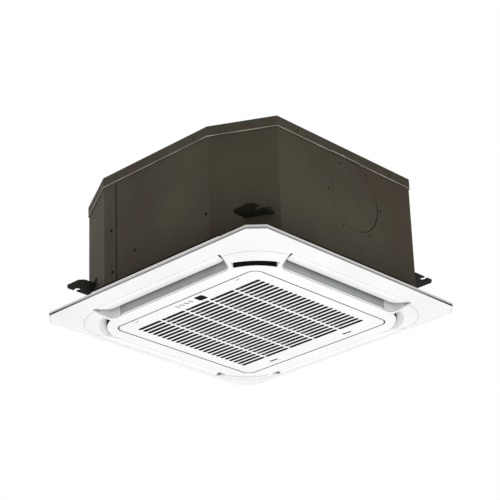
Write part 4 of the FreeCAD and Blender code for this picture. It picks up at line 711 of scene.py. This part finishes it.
def roof_z(share):
    """Height of the scoop's roof, from the outer edge at zero to the inner edge at one: quick at first, then
    flatter."""
    return ROOF_LOW + ROOF_RISE * share ** ROOF_BEND

share = np.linspace(0, 1, ROOF_STEPS)
roof = np.stack([(SCOOP_OUTER - SCOOP_INNER) / 2 * (1 - 2 * share), roof_z(share)], 1)
roof_profile = np.concatenate([roof, roof[::-1] + (0, ROOF_THICK)])
roof_path = arc(CORNER_CENTRE, (SCOOP_INNER + SCOOP_OUTER) / 2, SCOOP_FIRST, SCOOP_LAST, SCOOP_STEPS)
place("corner_scoops", four_sides(swept(roof_path, roof_profile, False)),
      "casing", white_plastic)

# %% Slits and cheeks of the scoops
def edge_z(reach):
    """Height at which the scoop's walls end, a little above the panel's skin near the corner."""
    return ISLAND_Z + CORNER_SLOPE * (reach - CORNER_RADIUS) + EDGE_LIFT

def cheek(angle, out_low, out_high):
    """A thin wall along a radius of the scoop, from the edge up to its roof, in all four corners."""
    reach = np.linspace(SCOOP_INNER, SCOOP_OUTER, CHEEK_STEPS)
    way = (math.cos(math.radians(angle)), math.sin(math.radians(angle)))
    high = roof_z((SCOOP_OUTER - reach) / (SCOOP_OUTER - SCOOP_INNER)) + ROOF_LAP
    return four_sides(standing(CORNER_CENTRE + reach[:, None] * way, out_low, out_high, edge_z(reach), high))

slit_path = arc(CORNER_CENTRE, SCOOP_INNER, SCOOP_FIRST, SCOOP_LAST, SCOOP_STEPS)
slit = standing(slit_path, WALL_BACK, WALL_FACE, edge_z(SCOOP_INNER), roof_z(1.0) + ROOF_LAP)
# Painted shade: a black wall stands in the slit, where the opening lies in shade.
place("corner_slit_shades", four_sides(slit), "casing", black_foam)
cheeks = cheek(SCOOP_FIRST, -WALL_FACE, -WALL_BACK), cheek(SCOOP_LAST, WALL_BACK, WALL_FACE)
place("corner_cheeks", np.concatenate(cheeks), "casing", white_plastic)

# %% [markdown]
# The corner covers snap in with a fine joint all along their outer arc. A grey thread that stands a hair
# proud of the panel's skin draws it. Its height needs that skin at a corner, which is a ruled surface:
# straight lines run from the quarter circle of the flat middle to the cut corner of the rim. For each point
# of the arc the right line is found by halving the angle again and again, for all points at once.

# %% Joints of the corner covers
COVER_CENTRE, COVER_RADIUS, COVER_FIRST, COVER_LAST, COVER_STEPS = (0.188, 0.188), 0.0963, 5, 85, 48
THREAD_HALF, THREAD_PROUD, THREAD_DEEP = 0.00055, 0.00008, 0.0016
QUARTER, HALVINGS, ANGLE_CLOSE = np.pi / 2, 30, 1e-6

def skin_z(points):
    """Height of the panel's skin above plan points of one corner: on the ruled corner surface the share of
    the way along the straight line through the point, and on the flanks the share of the way from middle to
    rim."""
    low, high = np.zeros(len(points)), np.full(len(points), QUARTER)
    for _ in range(HALVINGS):
        turn = (low + high) / 2
        start = CORNER_CENTRE + CORNER_RADIUS * np.stack([np.cos(turn), np.sin(turn)], 1)
        end = np.array([wide, short]) + (turn / QUARTER)[:, None] * (-RIM_CUT, RIM_CUT)
        line, gap = end - start, points - start
        above = line[:, 0] * gap[:, 1] - line[:, 1] * gap[:, 0] > 0
        low, high = np.where(above, turn, low), np.where(above, high, turn)
    share = (gap * line).sum(1) / (line * line).sum(1)
    flank = (points.max(1) - ISLAND_HALF) / (wide - ISLAND_HALF)
    on_flank = (turn < ANGLE_CLOSE) | (turn > QUARTER - ANGLE_CLOSE)
    return ISLAND_Z + (RIM_Z - ISLAND_Z) * np.where(on_flank, flank, share)

cover_arc = arc(COVER_CENTRE, COVER_RADIUS, COVER_FIRST, COVER_LAST, COVER_STEPS)
cover_z = skin_z(cover_arc)
thread = standing(cover_arc, -THREAD_HALF, THREAD_HALF, cover_z - THREAD_PROUD, cover_z + THREAD_DEEP)
place("cover_joints", four_sides(thread), "casing", joint_and_shade_grey)

# %% [markdown]
# ## Grille details
# The grille's slots look black because their own edges fall in shadow and the net lies close behind. Each
# slot gets a thin dark lining that paints that shadow: one ring of few faces, repeated over the rows and
# columns as an array of offsets.

# %% Dark linings of the grille's slots
COLUMNS, ROWS, PITCH_X, PITCH_Y, FIELD_SHIFT = 5, 24, 0.073, 0.014, -0.004
SLOT_HALF_X, SLOT_HALF_Y, SLOT_ROUND, SLOT_STEPS = 0.0345, 0.0046, 0.0042, 4
SLOT_BACK, SLOT_FACE = -0.0004, -0.00005
RING_LOW, RING_HIGH = ISLAND_Z + 0.0002, ISLAND_Z + 0.0024
slot_ring = swept(rounded_square(SLOT_HALF_X, SLOT_HALF_Y, SLOT_ROUND, SLOT_STEPS),
                  oblong(SLOT_BACK, SLOT_FACE, RING_LOW, RING_HIGH), True)
across, along = np.meshgrid((np.arange(COLUMNS) - (COLUMNS - 1) / 2) * PITCH_X,
                            (np.arange(ROWS) - (ROWS - 1) / 2) * PITCH_Y + FIELD_SHIFT)
offsets = np.stack([across.ravel(), along.ravel(), np.zeros(across.size)], 1)
# Painted shadow: black rings on the slots' edges.
place("grille_slot_shadows", slot_ring[None] + offsets[:, None, None, :],
      "grille", black_foam, ring=True)

# %% [markdown]
# A narrow joint separates the grille from the panel. A line could be painted there; a dark seal on the edge
# of the opening and a dark edge over the grille's chamfer draw it as a fine line from any side, and each
# stays with its own part when the grille swings down.

# %% Dark edges of the joint
GRILLE_HALF, GRILLE_ROUND, JOINT_GAP, ROUND_STEPS = span("intake_grille")[1][0], 0.022, 0.002, 8
SEAL_BACK, SEAL_FACE, SEAL_EASE = -0.0002, -0.00003, 0.00005
SEAL_LOW, SEAL_HIGH = ISLAND_Z + 0.0003, ISLAND_Z + 0.0023
CHAMFER, EDGE_THICK = 0.0012, 0.00008
opening_half, opening_round = GRILLE_HALF + JOINT_GAP, GRILLE_ROUND + JOINT_GAP
seal = swept(rounded_square(opening_half, opening_half, opening_round, ROUND_STEPS),
             block(SEAL_BACK, SEAL_FACE, SEAL_LOW, SEAL_HIGH, SEAL_EASE), True)
place("opening_seal", seal[None], "casing", black_foam, ring=True)
edge_low = SEAL_LOW - EDGE_THICK
edge_profile = np.array([
    (-CHAMFER, SEAL_LOW), (EDGE_THICK - CHAMFER, edge_low), (EDGE_THICK, edge_low + CHAMFER),
    (EDGE_THICK, RING_HIGH), (0.0, RING_HIGH), (0.0, SEAL_LOW + CHAMFER)])
edge = swept(rounded_square(GRILLE_HALF, GRILLE_HALF, GRILLE_ROUND, ROUND_STEPS), edge_profile, True)
place("grille_edge", edge[None], "grille", black_foam, ring=True)

# %% [markdown]
# Two catches hold the grille shut, each a button in a small window. The same kind of thin ring lines the
# window, and a dark face stands on the edge of the button and slides with it.

# %% Windows and buttons of the catches
latch_low, latch_high = span("latch_right")
CATCH_X, CATCH_Y = (latch_low[0] + latch_high[0]) / 2, 0.191
WINDOW_HALF_X, WINDOW_HALF_Y, WINDOW_ROUND, WINDOW_STEPS = 0.0115, 0.0075, 0.0006, 3
WINDOW_BACK, WINDOW_FACE, WINDOW_EASE = -0.0003, -0.00005, 0.00006
BUTTON_Y, BUTTON_HALF, BUTTON_BACK, BUTTON_FACE, BUTTON_TOP = 0.190, 0.0106, -0.0002, 0.0001, -0.0948
window = swept(rounded_square(WINDOW_HALF_X, WINDOW_HALF_Y, WINDOW_ROUND, WINDOW_STEPS),
               block(WINDOW_BACK, WINDOW_FACE, RING_LOW, RING_HIGH, WINDOW_EASE), True)
windows = np.stack([window + (side, CATCH_Y, 0) for side in (CATCH_X, -CATCH_X)])
place("catch_windows", windows, "grille", black_foam, ring=True)
button_path = np.array([(-BUTTON_HALF, BUTTON_Y), (BUTTON_HALF, BUTTON_Y)])
button_face = standing(button_path, BUTTON_BACK, BUTTON_FACE, RING_LOW, BUTTON_TOP)
for body, side in (("left_latch", -CATCH_X), ("right_latch", CATCH_X)):
    place(body + "_face", (button_face + (side, 0, 0))[None], body, black_foam)

# %% [markdown]
# The grille hangs on two lugs that reach through notches in its edge. A white tongue below each lug fills
# the notch, so that the edge looks whole when the grille is shut. It ends short of the arc that the notch's
# inner edge sweeps. A dark strip across the tongue's outer end carries the line of the joint on from one
# side of the notch to the other.

# %% Tongues in the hinge notches
TONGUE_FROM, TONGUE_TO, TONGUE_END, TONGUE_ROOT, LINE_ROOT = 0.1452, 0.1548, 0.2119, 0.2002, 0.2088
TONGUE_LOW, TONGUE_HIGH, TONGUE_EASE = ISLAND_Z + 0.0001, ISLAND_Z + 0.0015, 0.0003
LINE_LOW, LINE_HIGH, LINE_EASE = ISLAND_Z + 0.00002, ISLAND_Z + 0.00015, 0.00003
tongue_path = np.array([(TONGUE_FROM, -TONGUE_END), (TONGUE_TO, -TONGUE_END)])
tongue = block(TONGUE_ROOT - TONGUE_END, 0.0, TONGUE_LOW, TONGUE_HIGH, TONGUE_EASE)
joint_line = block(LINE_ROOT - TONGUE_END, 0.0, LINE_LOW, LINE_HIGH, LINE_EASE)
for name, profile, slot, finish in (("hinge_tongues", tongue, "white_plastic", white_plastic),
                                    ("tongue_joints", joint_line, "black_foam", black_foam)):
    grid = swept(tongue_path, profile, False)
    place(name, np.stack([grid, grid * (-1, 1, 1)]), "casing", finish)

# %% [markdown]
# ## Studio
# The light is that of a plain studio: four broad lamps that look at the unit from its sides and from below.
# They could show as bright squares in the picture, so they are hidden from the camera.

# %% Lamps
def lamp(name, place_at, size, power):
    """A broad area lamp that looks at the unit's middle."""
    data = bpy.data.lights.new(name, "AREA")
    data.shape, data.size, data.energy = "SQUARE", size, power
    item = bpy.data.objects.new(name, data)
    item.location = place_at
    item.visible_camera = False
    item.rotation_euler = (target - Vector(place_at)).to_track_quat("-Z", "Y").to_euler()
    bpy.context.collection.objects.link(item)

lamp("left_lamp", (-2.6, -2.2, -0.4), size=1.8, power=28)
lamp("right_lamp", (3.2, 1.2, -0.4), size=1.8, power=28)
lamp("low_lamp", (0.9, -1.0, -2.2), size=2.2, power=26.5)
lamp("far_lamp", (-1.8, 2.2, -1.4), size=1.8, power=11)
print("lamps:", len(bpy.data.lights))

# %% [markdown]
# The unit hangs above head height, so the pale floor lies well below it, and low enough that a camera which
# looks up from steeply below still stands above the floor.

# %% Floor
FLOOR_Z, FLOOR_HALF, FLOOR_LINES = -4.6, 13.0, 9
floor_line = np.linspace(-FLOOR_HALF, FLOOR_HALF, FLOOR_LINES)
floor_x, floor_y = np.meshgrid(floor_line, floor_line, indexing="ij")
floor_grid = np.stack([floor_x, floor_y, np.full(floor_x.shape, FLOOR_Z)], -1)
floor = bpy.data.objects.new("floor", woven("floor", floor_grid[None], False, False))
bpy.context.collection.objects.link(floor)
floor.data.materials.append(mottled("floor paper", grey(0.80), grey(0.84), patch=0.8,
                                    grain=0.004, relief=0.0001, roughness=0.8))
print("floor at", FLOOR_Z, "m")

# %% [markdown]
# The background is white to the camera, in reflections and through anything clear. As light on the unit
# that white would be too strong, so every other ray meets a softer world.

# %% World
WORLD_LIGHT, WHITE = 0.82, (1, 1, 1, 1)
world = bpy.data.worlds.new("studio")
bpy.context.scene.world = world
world.use_nodes = True
shown = world.node_tree.nodes["Background"]
shown.inputs["Color"].default_value = WHITE
light = add_node(world, "ShaderNodeBackground", Color=WHITE, Strength=WORLD_LIGHT)
ray = add_node(world, "ShaderNodeLightPath").outputs
seen = reckon(world, "MAXIMUM", ray["Is Camera Ray"], ray["Is Glossy Ray"])
choose = add_node(world, "ShaderNodeMixShader")
join(world, reckon(world, "MAXIMUM", seen, ray["Is Transmission Ray"]), choose.inputs["Fac"])
join(world, light.outputs[0], choose.inputs[1])
join(world, shown.outputs[0], choose.inputs[2])
join(world, choose.outputs[0], world.node_tree.nodes["World Output"].inputs["Surface"])
bpy.context.scene.view_settings.view_transform = "Standard"
print("studio ready")
